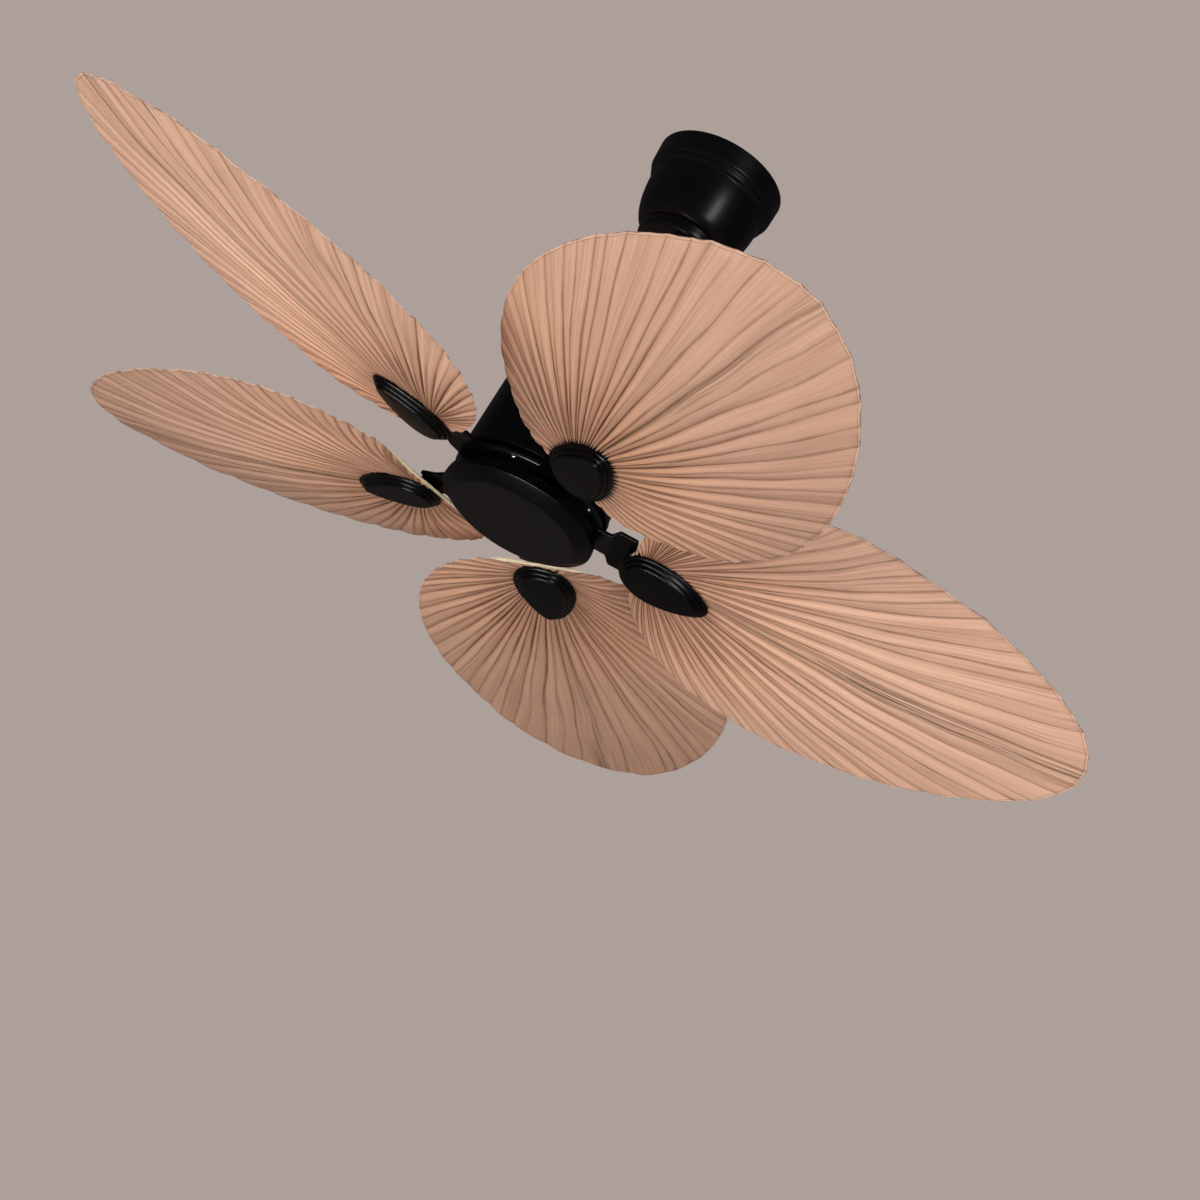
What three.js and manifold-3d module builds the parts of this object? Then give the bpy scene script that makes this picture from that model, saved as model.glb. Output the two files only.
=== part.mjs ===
// Ceiling fan with five pleated palm-leaf blades, hung on a ball and a downrod.
// Millimetres, +Z up. The origin is the middle of the ceiling face; blade 1 points along +X.
import * as THREE from "three";
import { mergeVertices } from "three/addons/utils/BufferGeometryUtils.js";
import Module from "manifold-3d";

const wasm = await Module();
wasm.setup();

// Driving dimensions
const seatGap = 0.3; // between pieces that rest on each other
const sheetWall = 1.5; // spun steel of canopy, housing, covers and cap

const canopyRadius = 77;
const canopyBandHeight = 26.5;
const canopyBandTaper = 1;
const canopyBeadRadius = 73.2;
const canopyBeadHeight = 6.5;
const canopyBowlRadius = 68.8;
const canopyNeckRadius = 48.5;
const canopyHeight = 99.8;
const canopyFootWidth = 13;
const canopyBandEdge = 1.6; // height of the bevel under the band
const canopyBandEdgeWidth = 1.2;
const canopyBeadTaper = 0.4;
const canopyBeadStep = 0.8; // band's lower edge to the bead's top
const canopyBowlStep = 3; // bead's lower edge to the bowl
const trimRadius = 51;
const trimHeight = 15;
const trimHoleRadius = 29;
const trimFootInset = 6.5;
const trimEdge = 1;
const trimEdgeHeight = 1.5;
const trimNeckTaper = 0.6;
const trimFootHeight = 7;
const canopyScrewRadius = 2.4;
const canopyScrewHeadRadius = 4.4;
const canopyScrewHeadHeight = 2.6;
const canopyScrewHeadTaper = 0.8; // its flat end's radius as a share of its own
const canopyScrewLength = 10;

const bracketSheet = 2.5;
const bracketWidth = 48;
const bracketSpan = 104;
const bracketLipDrop = 7;
const earWidth = 14;
const earInset = 8; // canopy's neck to the middle of the screw in the ear's foot
const earFoot = 10;
const cradleSpan = 64;
const cradleSheet = 5;
const cradleHoleRadius = 19.5;
const cradleNotchClearance = 2; // round the rod in the notch that lets it in
const boxScrewSpacing = 88.9;
const boxScrewRadius = 2.6;
const wireHoleRadius = 8;
const wireHoleOffset = 14;

const ballRadius = 26;
const ballDrop = 58; // ceiling to the middle of the ball
const ballTopCut = 17;
const ballFootTurn = 0.06; // widens its lower rim, in radians
const ballClearance = 0.8;
const keyWidth = 4;
const keyDepth = 4;
const keyReach = 0.5; // how far the key stands into the cradle's hole
const keyRise = 2.2; // and above the cradle's sheet
const keyClearance = 0.4;
const rodRadius = 13.35;
const rodWall = 2;
const rodClearance = 0.3;
const rodAboveBall = 26; // middle of the ball to the rod's top end
const ballPinRise = 14;
const ballPinRadius = 3;
const ballPinLength = 40;
const pinClearance = 0.3;
const pinDrop = 222; // middle of the ball to the clevis pin
const clevisPinRadius = 3.5;
const clevisPinHead = 5.5;
const clevisPinHeadHeight = 2;
const clevisPinEnd = 5; // how far it stands out of the coupling
const rodBelowPin = 12;

const collarRadius = 19;
const collarAbovePin = 20;
const flangeDrop = 23.5; // clevis pin to the top of the coupling's flange
const flangeRadius = 37;
const flangeThickness = 4;
const nutBossHeight = 12;
const nutBossInset = 2; // collar to the boss under the flange
const coverHeight = 52;
const coverFootRadius = 41;
const coverNeckRadius = 18.5;
const coverHoleClearance = 1.2;
const coverRimHeight = 3;
const coverRimInset = 3;
const coverNeckHeight = 7;
const coverStep = 1; // between the rim or the neck and the curve

const shaftRadius = 9;
const shaftBore = 5.5;
const shaftDrop = 2; // coupling's floor to the shaft's top end
const bearingRadius = 20;
const bearingHeight = 12;
const raceWall = 3.6;

const housingTopRadius = 60;
const housingShoulder = 27;
const housingUpperRadius = 87;
const housingLowerRadius = 89;
const housingLipRadius = 91;
const housingLipHeight = 6;
const housingHeight = 157.2;
const housingLipStep = 2; // height of the slope above the lip
const housingHoleClearance = 1; // round the coupling's collar

const motorDrop = 26; // underside of the coupling's flange to the top of the rotor
const rotorRadius = 82;
const rotorWall = 4;
const rotorCrown = 22;
const rotorBossWall = 2; // added to the wall where the crown meets the bearing's boss
const rotorBossDrop = 5;
const rotorSplit = 78; // top of the rotor to the joint of its two shells
const flywheelGap = 4.6; // housing's lower edge to the flywheel's top
const flywheelRadius = 89;
const flywheelThickness = 5.6;
const flywheelEdge = 1;
const bearingInset = 3; // rotor's top to the upper bearing's top
const bearingLip = 1; // how far a bearing's boss reaches past it

const coreRadius = 58;
const coreHeight = 32;
const coreDrop = 45; // top of the rotor to the top of the stator core
const slotCount = 9;
const slotDepth = 22;
const slotShare = 0.45; // share of a tooth's pitch that its slot takes
const windingOverhang = 11;
const windingMargin = 3; // winding to the slot's floor, mouth and sides
const windingWedge = 2;
const airGap = 2;
const cageWall = 15;

const capGap = 11; // flywheel's underside to the cap's top edge
const capTopRadius = 88;
const capEdgeRadius = 90.6;
const capBandHeight = 13;
const capBevelHeight = 10;
const capFieldRadius = 73.5;
const capEdgeWidth = 1.2;
const capEdgeHeight = 1;
const capRimWidth = 0.8;
const capRimSwell = 0.6;
const capRimHeight = 2;
const capPlateInset = 1; // cap's top edge to the plate that closes it
const capPlateThickness = 1.6;
const shaftNutRadius = 15;
const shaftNutHeight = 5;
const shaftEnd = 2; // how far the shaft stands out of its nut
const capacitorLength = 42;
const capacitorWidth = 24;
const capacitorHeight = 13;
const capacitorOffset = 44;

const bladeCount = 5;
const sweepRadius = 660;
const bladePitch = -11.3;
const bladeDroop = 1.4;
const medallionDrop = 15.2; // flywheel's underside to the medallion's rim at its hub end
const medallionStart = 121.7;
const medallionLength = 108;
const medallionHalfWidth = 35.5;
const medallionEggShape = 0.267;
const medallionStep = 3.6; // width of one of its ridges
const medallionRise = 3; // height of one of its ridges
const medallionRidges = 3;
const ridgeFaceWidth = 0.25; // of a ridge's steep outer face, as a share of its step
const ridgeFaceRise = 0.87; // and of its rise
const bossRadius = 5;
const bossClearance = 0.8;
const bossInnerX = 146;
const bossInnerY = 15;
const bossOuterX = 200;

const leafRootXs = [137, 124, 124, 137, 137]; // where each leaf's root is cut straight
const leafFocusX = 172; // where all the pleats meet
const leafHalfWidth = 186.5;
const leafSpreads = [1.037, 0.977, 1.035, 1.043, 0.994]; // each leaf's own width as a share of it
const leafEggShape = -0.244;
const leafEggStarts = [133.5, 113, 96, 131.5, 129.5]; // where each egg outline would end uncut
const leafThickness = 1;
const leafPleats = 36;
const pleatRiseAtClamp = 1.5; // of a fold above or below the leaf's middle surface
const pleatRise = 2.2;
const pleatRiseAtEdge = 0.8;
const clampReach = 40; // from the pleats' meeting point
const clampSlack = 0.5;
const leafRings = [0, 0.52, 1]; // corners along a fold, as shares of its length past the clamp
const clampShareLimit = 0.7; // for folds that are little longer than the clamp's reach
const leafCup = 13;
const leafTipRises = [10.2, 27.3, 33.8, 22.7, 37.2]; // each natural leaf bends its own way
const leafExtraCups = [-3.7, -5.2, 1.2, -6.8, 14.6];
const leafTwists = [-5.1, -9.2, 2.2, -2.9, -7.4];
const leafSags = [-0.41, -0.4, -0.08, 0.6, -0.42]; // slope at its root, as a share of its tip's rise
const leafYaws = [-8.2, -2.8, -0.2, 0.4, -1];

const splintWidth = 6;
const splintThickness = 3;
const splintEndGap = 8; // from the corners of the leaf's root

const ironThickness = 4;
const ironPadStart = 50;
const ironPadHalfWidth = 25;
const ironTwistStart = 99;
const ironTwistEnd = 109;
const ironPlateHalfWidth = 31;
const ironPlateEnd = 129.5;
const ironCornerCut = 1.5;
const ironStepLength = 8; // where it steps down from its plate to the leaf
const ironTongueHalfWidth = 21;
const ironTipX = 212;
const ironTipHalfWidth = 8;

const largeFacets = 28;
const middleFacets = 24;
const rotorFacets = 20;
const smallFacets = 16;
const shaftFacets = 12;
const tinyFacets = 8;
const throughCut = 1; // how far a cutting tool stands out of what it cuts
const medallionFacets = 18;

// Heights worked out from the dimensions above
const ballZ = -ballDrop;
const clevisPinZ = ballZ - pinDrop;
const flangeTop = clevisPinZ - flangeDrop;
const housingTop = flangeTop + seatGap + sheetWall;
const housingBottom = housingTop - housingHeight;
const rotorTop = flangeTop - flangeThickness - motorDrop;
const flywheelTop = housingBottom - flywheelGap;
const flywheelBottom = flywheelTop - flywheelThickness;
const splitZ = rotorTop - rotorSplit;
const coreTop = rotorTop - coreDrop;
const capTop = flywheelBottom - capGap;
const capEdgeZ = capTop - capBandHeight;
const capBottom = capEdgeZ - capBevelHeight;
const medallionZ = flywheelBottom - medallionDrop;
const capPlateTop = capTop - capPlateInset;
const shaftBottom = capPlateTop - capPlateThickness - shaftNutHeight - shaftEnd;

// Heights above the medallion's rim, in the blade's own tilted frame.
const leafMid = clampSlack + pleatRiseAtClamp + leafThickness / 2;
const ironUnder = leafMid + pleatRiseAtClamp + leafThickness / 2 + clampSlack;

const degrees = Math.PI / 180;
const uprightTurn = new THREE.Matrix4().makeRotationX(Math.PI / 2);

// Materials
const blackMetal = new THREE.MeshStandardMaterial({ color: 0x1b191b, roughness: 0.42, metalness: 0.6 });
const zincSteel = new THREE.MeshStandardMaterial({ color: 0x9a9b9c, roughness: 0.4, metalness: 0.9 });
const castMetal = new THREE.MeshStandardMaterial({ color: 0x8b8c8e, roughness: 0.6, metalness: 0.8 });
const steel = new THREE.MeshStandardMaterial({ color: 0xb5b6b8, roughness: 0.3, metalness: 1 });
const lamination = new THREE.MeshStandardMaterial({ color: 0x5c5a58, roughness: 0.6, metalness: 0.8 });
const copper = new THREE.MeshStandardMaterial({ color: 0xa5582c, roughness: 0.45, metalness: 0.8 });
const ballPlastic = new THREE.MeshStandardMaterial({ color: 0x2b2b2d, roughness: 0.6, metalness: 0 });
const greyPlastic = new THREE.MeshStandardMaterial({ color: 0x3a3a3c, roughness: 0.55, metalness: 0 });
const palmLeaf = new THREE.MeshStandardMaterial({ color: 0xc79a7b, roughness: 0.8, metalness: 0 });
const cane = new THREE.MeshStandardMaterial({ color: 0xd8c79c, roughness: 0.75, metalness: 0 });

// Geometry helpers
// The same surface with shared corners and no collapsed faces.
function welded(geometry) {
  const bare = new THREE.BufferGeometry();
  bare.setAttribute("position", geometry.getAttribute("position"));
  bare.setIndex(geometry.index);
  const merged = mergeVertices(bare, 1e-4);
  const index = merged.index.array;
  const kept = [];
  for (let i = 0; i < index.length; i += 3) {
    const [a, b, c] = [index[i], index[i + 1], index[i + 2]];
    if (a !== b && b !== c && c !== a) kept.push(a, b, c);
  }
  merged.setIndex(kept);
  return merged;
}

function solidOf(geometry) {
  const skin = welded(geometry);
  return new wasm.Manifold(
    new wasm.Mesh({
      numProp: 3,
      vertProperties: new Float32Array(skin.attributes.position.array),
      triVerts: new Uint32Array(skin.index.array),
    }),
  );
}

function geometryOf(solid) {
  const mesh = solid.getMesh();
  const geometry = new THREE.BufferGeometry();
  geometry.setAttribute("position", new THREE.BufferAttribute(mesh.vertProperties, 3));
  geometry.setIndex(new THREE.BufferAttribute(mesh.triVerts, 1));
  return geometry;
}

function cut(geometry, ...tools) {
  return geometryOf(tools.reduce((body, tool) => body.subtract(solidOf(tool)), solidOf(geometry)));
}

function joined(geometry, ...others) {
  return geometryOf(others.reduce((body, other) => body.add(solidOf(other)), solidOf(geometry)));
}

// A solid of revolution about Z, from [radius, height] points that go once round its section.
function turned(section, facets) {
  const points = section.map(([r, z]) => new THREE.Vector2(r, z));
  const [first, last] = [points[0], points.at(-1)];
  if (first.x > 0 && !first.equals(last)) points.push(first.clone());
  if (THREE.ShapeUtils.isClockWise(points)) points.reverse();
  return welded(new THREE.LatheGeometry(points, facets).applyMatrix4(uprightTurn));
}

function ring(inner, outer, bottom, top, facets) {
  return turned([[inner, bottom], [outer, bottom], [outer, top], [inner, top]], facets);
}

function disc(radius, bottom, top, facets) {
  return turned([[0, bottom], [radius, bottom], [radius, top], [0, top]], facets);
}

// A round bar along X, centred on a point.
function crossBar(radius, length, z, facets = tinyFacets) {
  return welded(disc(radius, -length / 2, length / 2, facets).rotateY(Math.PI / 2).translate(0, 0, z));
}

function box(sizeX, sizeY, sizeZ, x, y, z) {
  return welded(new THREE.BoxGeometry(sizeX, sizeY, sizeZ).translate(x, y, z));
}

// Points of a quarter of an ellipse from one [radius, height] point to another.
function quarter(from, to, steps, startsFlat) {
  const points = [];
  for (let i = 0; i <= steps; i++) {
    const angle = (i / steps) * (Math.PI / 2);
    const alongR = startsFlat ? Math.sin(angle) : 1 - Math.cos(angle);
    const alongZ = startsFlat ? 1 - Math.cos(angle) : Math.sin(angle);
    points.push([from[0] + (to[0] - from[0]) * alongR, from[1] + (to[1] - from[1]) * alongZ]);
  }
  return points;
}

function smooth(from, to, x) {
  return THREE.MathUtils.smoothstep(x, from, to);
}

function named(name, geometry, material) {
  const mesh = new THREE.Mesh(geometry, material);
  mesh.name = name;
  return mesh;
}

// Ceiling side: bracket, canopy and its trim ring
function ballSeat(radius, facets = smallFacets) {
  const sphere = new THREE.SphereGeometry(radius, facets, 12).applyMatrix4(uprightTurn);
  return welded(sphere.translate(0, 0, ballZ));
}

function rodNotch(halfWidth, depth, z) {
  return box(2 * halfWidth, bracketWidth, depth, 0, bracketWidth / 2, z);
}

// A strip of sheet bent in the XZ plane, given as its closed [x, z] outline.
function bentStrip(outline, width) {
  const shape = new THREE.Shape(outline.map(([x, z]) => new THREE.Vector2(x, z)));
  return new THREE.ExtrudeGeometry(shape, { depth: width, bevelEnabled: false, steps: 1 })
    .translate(0, 0, -width / 2)
    .applyMatrix4(uprightTurn);
}

const footTop = -canopyHeight + sheetWall + seatGap + bracketSheet;
const canopyScrewX = canopyNeckRadius - earInset;

// The ear that reaches down to the canopy's foot, where its screw holds it.
function bracketEar(side) {
  const [outer, inner] = [canopyScrewX + earFoot / 2, canopyScrewX - earFoot / 2];
  const outline = [
    [side * outer, -bracketSheet / 2],
    [side * outer, footTop - bracketSheet],
    [side * inner, footTop - bracketSheet],
    [side * inner, footTop],
    [side * (outer - bracketSheet), footTop],
    [side * (outer - bracketSheet), -bracketSheet / 2],
  ];
  return bentStrip(side > 0 ? outline : outline.reverse(), earWidth);
}

function hangerBracket() {
  const seatLevel = ballZ - ballRadius * Math.sin(Math.acos(cradleHoleRadius / ballRadius));
  const cradleBottom = seatLevel - cradleSheet / 2;
  const [half, foot] = [bracketSpan / 2, cradleSpan / 2];
  const plate = bentStrip(
    [
      [-half, -bracketLipDrop],
      [-half, 0],
      [half, 0],
      [half, -bracketLipDrop],
      [half - bracketSheet, -bracketLipDrop],
      [half - bracketSheet, -bracketSheet],
      [-half + bracketSheet, -bracketSheet],
      [-half + bracketSheet, -bracketLipDrop],
    ],
    bracketWidth,
  );
  const cradle = bentStrip(
    [
      [-foot - bracketSheet, -bracketSheet / 2],
      [-foot, -bracketSheet / 2],
      [-foot + bracketSheet, cradleBottom + cradleSheet],
      [foot - bracketSheet, cradleBottom + cradleSheet],
      [foot, -bracketSheet / 2],
      [foot + bracketSheet, -bracketSheet / 2],
      [foot, cradleBottom],
      [-foot, cradleBottom],
    ],
    bracketWidth,
  );
  const openings = [
    ballSeat(ballRadius + ballClearance),
    rodNotch(rodRadius + cradleNotchClearance, 3 * cradleSheet, cradleBottom + cradleSheet / 2),
    disc(cradleHoleRadius, cradleBottom - throughCut, cradleBottom + cradleSheet + throughCut, smallFacets),
  ];
  for (const side of [-1, 1]) {
    const boxHole = disc(boxScrewRadius, -2 * bracketSheet, bracketSheet, tinyFacets);
    openings.push(boxHole.translate((side * boxScrewSpacing) / 2, 0, 0));
    const wireHole = disc(wireHoleRadius, -2 * bracketSheet, bracketSheet, tinyFacets);
    openings.push(wireHole.translate(0, side * wireHoleOffset, 0));
    const footHole = disc(canopyScrewRadius + pinClearance, -bracketSheet * 2, bracketSheet, tinyFacets);
    openings.push(footHole.translate(side * canopyScrewX, 0, footTop));
  }
  // A key that stands up out of the cradle into the ball's groove, so that the rod can't turn.
  const keyInner = cradleHoleRadius - keyReach;
  const keyHeight = cradleSheet + keyRise;
  const keyY = -(keyInner + ballRadius) / 2;
  const keyZ = cradleBottom + seatGap + keyHeight / 2;
  const key = box(keyWidth, ballRadius - keyInner, keyHeight, 0, keyY, keyZ);
  const inBall = ballSeat(ballRadius - keyDepth + keyClearance);
  const sheet = joined(plate, cradle, bracketEar(1), bracketEar(-1));
  return joined(cut(sheet, ...openings), cut(key, inBall));
}

function canopyShell() {
  const bandLow = -canopyBandHeight;
  const bandRadius = canopyRadius - canopyBandTaper;
  const beadLow = bandLow - canopyBeadHeight;
  const bowlStart = beadLow - canopyBowlStep;
  const outer = [
    [canopyRadius, 0],
    [bandRadius, bandLow + canopyBandEdge],
    [bandRadius - canopyBandEdgeWidth, bandLow],
    [canopyBeadRadius, bandLow - canopyBeadStep],
    [canopyBeadRadius - canopyBeadTaper, beadLow],
    ...quarter([canopyBowlRadius, bowlStart], [canopyNeckRadius, -canopyHeight], 4, false),
  ];
  const innerFoot = canopyNeckRadius - canopyFootWidth;
  const inner = [
    [innerFoot, -canopyHeight],
    [innerFoot, -canopyHeight + sheetWall],
    ...quarter(
      [canopyNeckRadius - sheetWall, -canopyHeight + sheetWall],
      [canopyBowlRadius - sheetWall, bowlStart],
      2,
      true,
    ),
    [canopyBowlRadius - sheetWall, bandLow + 2 * sheetWall],
    [bandRadius - sheetWall, bandLow + 4 * sheetWall],
    [canopyRadius - sheetWall, 0],
  ];
  const screwHoles = [-1, 1].map((side) => {
    const hole = disc(canopyScrewRadius + pinClearance, -2 * sheetWall, 2 * sheetWall, tinyFacets);
    return hole.translate(side * canopyScrewX, 0, -canopyHeight);
  });
  return cut(turned([...outer, ...inner], middleFacets), ...screwHoles);
}

// It covers the canopy's screws, and its opening is what stops the rod when the fan leans.
function canopyTrim() {
  const top = -canopyHeight - seatGap;
  const bottom = top - trimHeight;
  const footRadius = trimRadius - trimFootInset;
  const innerRadius = canopyNeckRadius - seatGap;
  return turned(
    [
      [innerRadius, top],
      [trimRadius - trimEdge, top],
      [trimRadius, top - trimEdgeHeight],
      ...quarter([trimRadius - trimNeckTaper, bottom + trimFootHeight], [footRadius, bottom], 2, false),
      [trimHoleRadius, bottom],
      [trimHoleRadius, bottom + sheetWall],
      [footRadius - sheetWall, bottom + sheetWall],
      [innerRadius, bottom + trimFootHeight],
    ],
    middleFacets,
  );
}

function canopyScrew() {
  const headSeat = -canopyHeight - seatGap;
  return turned(
    [
      [0, headSeat + canopyScrewLength],
      [canopyScrewRadius, headSeat + canopyScrewLength],
      [canopyScrewRadius, headSeat],
      [canopyScrewHeadRadius, headSeat],
      [canopyScrewHeadRadius * canopyScrewHeadTaper, headSeat - canopyScrewHeadHeight],
      [0, headSeat - canopyScrewHeadHeight],
    ],
    tinyFacets,
  ).translate(canopyScrewX, 0, 0);
}

// Hanging side: ball, rod and coupling
function hangerBall() {
  const bore = rodRadius + rodClearance;
  const section = [];
  const low = -Math.acos(bore / ballRadius) + ballFootTurn;
  const high = Math.asin(ballTopCut / ballRadius);
  const arcSteps = 7;
  for (let i = 0; i <= arcSteps; i++) {
    const latitude = low + ((high - low) * i) / arcSteps;
    section.push([ballRadius * Math.cos(latitude), ballZ + ballRadius * Math.sin(latitude)]);
  }
  section.push([bore, ballZ + ballTopCut], [bore, ballZ + ballRadius * Math.sin(low)]);
  const body = turned(section, smallFacets);
  const slotHalf = ballPinRadius + pinClearance;
  const slotHeight = ballTopCut - ballPinRise + slotHalf;
  const pinSlot = box(3 * ballRadius, 2 * slotHalf, 2 * slotHeight, 0, 0, ballZ + ballTopCut);
  const grooveHalf = keyWidth / 2 + keyClearance;
  const grooveOuter = disc(2 * ballRadius, -grooveHalf, grooveHalf, smallFacets);
  const grooveInner = disc(ballRadius - keyDepth, -keyWidth, keyWidth, smallFacets);
  const groove = cut(grooveOuter, grooveInner).rotateY(Math.PI / 2).translate(0, 0, ballZ);
  const kept = box(2 * keyWidth, 4 * ballRadius, 4 * ballRadius, 0, 2 * ballRadius, ballZ);
  return cut(body, pinSlot, cut(groove, kept));
}

function downrod() {
  const tube = ring(
    rodRadius - rodWall,
    rodRadius,
    clevisPinZ - rodBelowPin,
    ballZ + rodAboveBall,
    smallFacets,
  );
  return cut(
    tube,
    crossBar(ballPinRadius + pinClearance, 4 * rodRadius, ballZ + ballPinRise),
    crossBar(clevisPinRadius + pinClearance, 4 * rodRadius, clevisPinZ),
  );
}

function motorCoupling() {
  const bore = rodRadius + rodClearance;
  const shaftHole = shaftRadius + seatGap;
  const floor = clevisPinZ - rodBelowPin - seatGap;
  const flangeLow = flangeTop - flangeThickness;
  const section = [
    [bore, floor],
    [bore, clevisPinZ + collarAbovePin],
    [collarRadius, clevisPinZ + collarAbovePin],
    [collarRadius, flangeTop],
    [flangeRadius, flangeTop],
    [flangeRadius, flangeLow],
    [collarRadius - nutBossInset, flangeLow],
    [collarRadius - nutBossInset, flangeLow - nutBossHeight],
    [shaftHole, flangeLow - nutBossHeight],
    [shaftHole, floor],
  ];
  return cut(
    turned(section, smallFacets),
    crossBar(clevisPinRadius + pinClearance, 4 * collarRadius, clevisPinZ),
  );
}

function clevisPin() {
  const headSeat = collarRadius + seatGap;
  return turned(
    [
      [0, -collarRadius - clevisPinEnd],
      [clevisPinRadius, -collarRadius - clevisPinEnd],
      [clevisPinRadius, headSeat],
      [clevisPinHead, headSeat],
      [clevisPinHead, headSeat + clevisPinHeadHeight],
      [0, headSeat + clevisPinHeadHeight],
    ],
    tinyFacets,
  )
    .rotateY(Math.PI / 2)
    .translate(0, 0, clevisPinZ);
}

function couplingCover() {
  const foot = housingTop + seatGap;
  const top = foot + coverHeight;
  const hole = rodRadius + coverHoleClearance;
  const wide = coverFootRadius - coverRimInset;
  const slim = coverNeckRadius + coverRimInset;
  const [rimTop, neckLow] = [foot + coverRimHeight, top - coverNeckHeight];
  const outer = [
    [coverFootRadius, foot],
    [coverFootRadius, rimTop],
    ...quarter([wide, rimTop + coverStep], [slim, neckLow - coverStep], 4, false),
    [coverNeckRadius, neckLow],
    [coverNeckRadius, top],
  ];
  const inner = [
    [hole, top],
    [hole, neckLow - sheetWall],
    ...quarter(
      [slim - sheetWall, neckLow - coverStep - sheetWall],
      [wide - sheetWall, rimTop + coverStep],
      2,
      true,
    ),
    [wide - sheetWall, foot],
  ];
  return turned([...outer, ...inner], smallFacets);
}

// Motor
function statorShaft() {
  const floor = clevisPinZ - rodBelowPin - seatGap;
  return ring(shaftBore, shaftRadius, shaftBottom, floor - shaftDrop, shaftFacets);
}

function motorHousing() {
  const shoulderLow = housingTop - housingShoulder;
  const lipTop = housingBottom + housingLipHeight;
  const hole = collarRadius + housingHoleClearance;
  const outer = [
    [hole, housingTop],
    ...quarter([housingTopRadius, housingTop], [housingUpperRadius, shoulderLow], 5, true),
    [housingLowerRadius, lipTop + housingLipStep],
    [housingLipRadius, lipTop],
    [housingLipRadius, housingBottom],
  ];
  const inner = [
    [housingLipRadius - sheetWall, housingBottom],
    [housingLipRadius - sheetWall, lipTop - housingLipStep / 2],
    [housingLowerRadius - sheetWall, lipTop + housingLipStep / 2],
    ...quarter(
      [housingUpperRadius - sheetWall, shoulderLow],
      [housingTopRadius, housingTop - sheetWall],
      3,
      false,
    ),
    [hole, housingTop - sheetWall],
  ];
  return turned([...outer, ...inner], largeFacets);
}

function innerRace(top) {
  const bore = shaftRadius + seatGap;
  return ring(bore, bore + raceWall, top - bearingHeight, top, shaftFacets);
}

function outerRace(top) {
  return ring(bearingRadius - raceWall, bearingRadius, top - bearingHeight, top, shaftFacets);
}

const upperBearingTop = rotorTop - bearingInset;
const lowerBearingTop = flywheelTop + bearingHeight - flywheelEdge;

function rotorTopShell() {
  const seat = bearingRadius + seatGap;
  const boss = seat + rotorWall;
  const crownLow = rotorTop - rotorCrown;
  const bossLow = upperBearingTop - bearingHeight - bearingLip;
  return turned(
    [
      [bearingRadius - raceWall, rotorTop],
      [boss, rotorTop],
      ...quarter([boss + rotorBossWall, rotorTop - rotorBossDrop], [rotorRadius, crownLow], 3, true),
      [rotorRadius, splitZ],
      [rotorRadius - rotorWall, splitZ],
      [rotorRadius - rotorWall, crownLow],
      [boss, rotorTop - rotorBossDrop - rotorWall - bearingLip],
      [boss, bossLow],
      [seat, bossLow],
      [seat, upperBearingTop + seatGap],
      [bearingRadius - raceWall, upperBearingTop + seatGap],
    ],
    rotorFacets,
  );
}

function flywheel() {
  const seat = bearingRadius + seatGap;
  const boss = seat + rotorWall;
  const lowestSeat = lowerBearingTop - bearingHeight - seatGap;
  return turned(
    [
      [bearingRadius - raceWall, flywheelBottom],
      [flywheelRadius - flywheelEdge, flywheelBottom],
      [flywheelRadius, flywheelBottom + flywheelEdge],
      [flywheelRadius, flywheelTop - flywheelEdge],
      [flywheelRadius - flywheelEdge, flywheelTop],
      [rotorRadius, flywheelTop],
      [rotorRadius, splitZ - seatGap],
      [rotorRadius - rotorWall, splitZ - seatGap],
      [rotorRadius - rotorWall, flywheelTop],
      [boss, flywheelTop],
      [boss, lowerBearingTop + bearingLip],
      [seat, lowerBearingTop + bearingLip],
      [seat, lowestSeat],
      [bearingRadius - raceWall, lowestSeat],
    ],
    rotorFacets,
  );
}

function statorCore() {
  const outline = new THREE.Shape();
  const pitch = (2 * Math.PI) / slotCount;
  const floor = coreRadius - slotDepth;
  for (let i = 0; i < slotCount; i++) {
    const middle = i * pitch;
    const halfTooth = (pitch * (1 - slotShare)) / 2;
    outline.absarc(0, 0, coreRadius, middle - halfTooth, middle + halfTooth, false);
    outline.absarc(0, 0, floor, middle + halfTooth, middle + pitch - halfTooth, false);
  }
  outline.closePath();
  const plain = { depth: coreHeight, bevelEnabled: false, curveSegments: 1, steps: 1 };
  const coreBottom = coreTop - coreHeight;
  const stack = new THREE.ExtrudeGeometry(outline, plain).translate(0, 0, coreBottom);
  const bore = disc(shaftRadius + seatGap, coreBottom - throughCut, coreTop + throughCut, shaftFacets);
  return cut(stack, bore);
}

// The end turns above and below the core, joined by the coil sides that lie in its slots.
function statorWinding() {
  const pitch = (2 * Math.PI) / slotCount;
  const inner = coreRadius - slotDepth + windingMargin;
  const outer = coreRadius - windingMargin;
  const endTurn = (low, high) => ring(inner, outer, low, high, shaftFacets);
  const top = endTurn(coreTop + seatGap, coreTop + windingOverhang);
  const bottom = endTurn(coreTop - coreHeight - windingOverhang, coreTop - coreHeight - seatGap);
  const sides = [];
  const sideWidth = inner * pitch * slotShare - windingMargin;
  const sideDepth = outer - inner - windingWedge;
  for (let i = 0; i < slotCount; i++) {
    const side = box(sideDepth, sideWidth, coreHeight + windingOverhang, (inner + outer) / 2, 0, 0);
    side.rotateZ((i + 0.5) * pitch).translate(0, 0, coreTop - coreHeight / 2);
    sides.push(side);
  }
  return joined(top, bottom, ...sides);
}

function rotorCage() {
  return ring(
    coreRadius + airGap,
    Math.min(coreRadius + airGap + cageWall, rotorRadius - rotorWall - seatGap),
    coreTop - coreHeight,
    coreTop,
    rotorFacets,
  );
}

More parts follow.
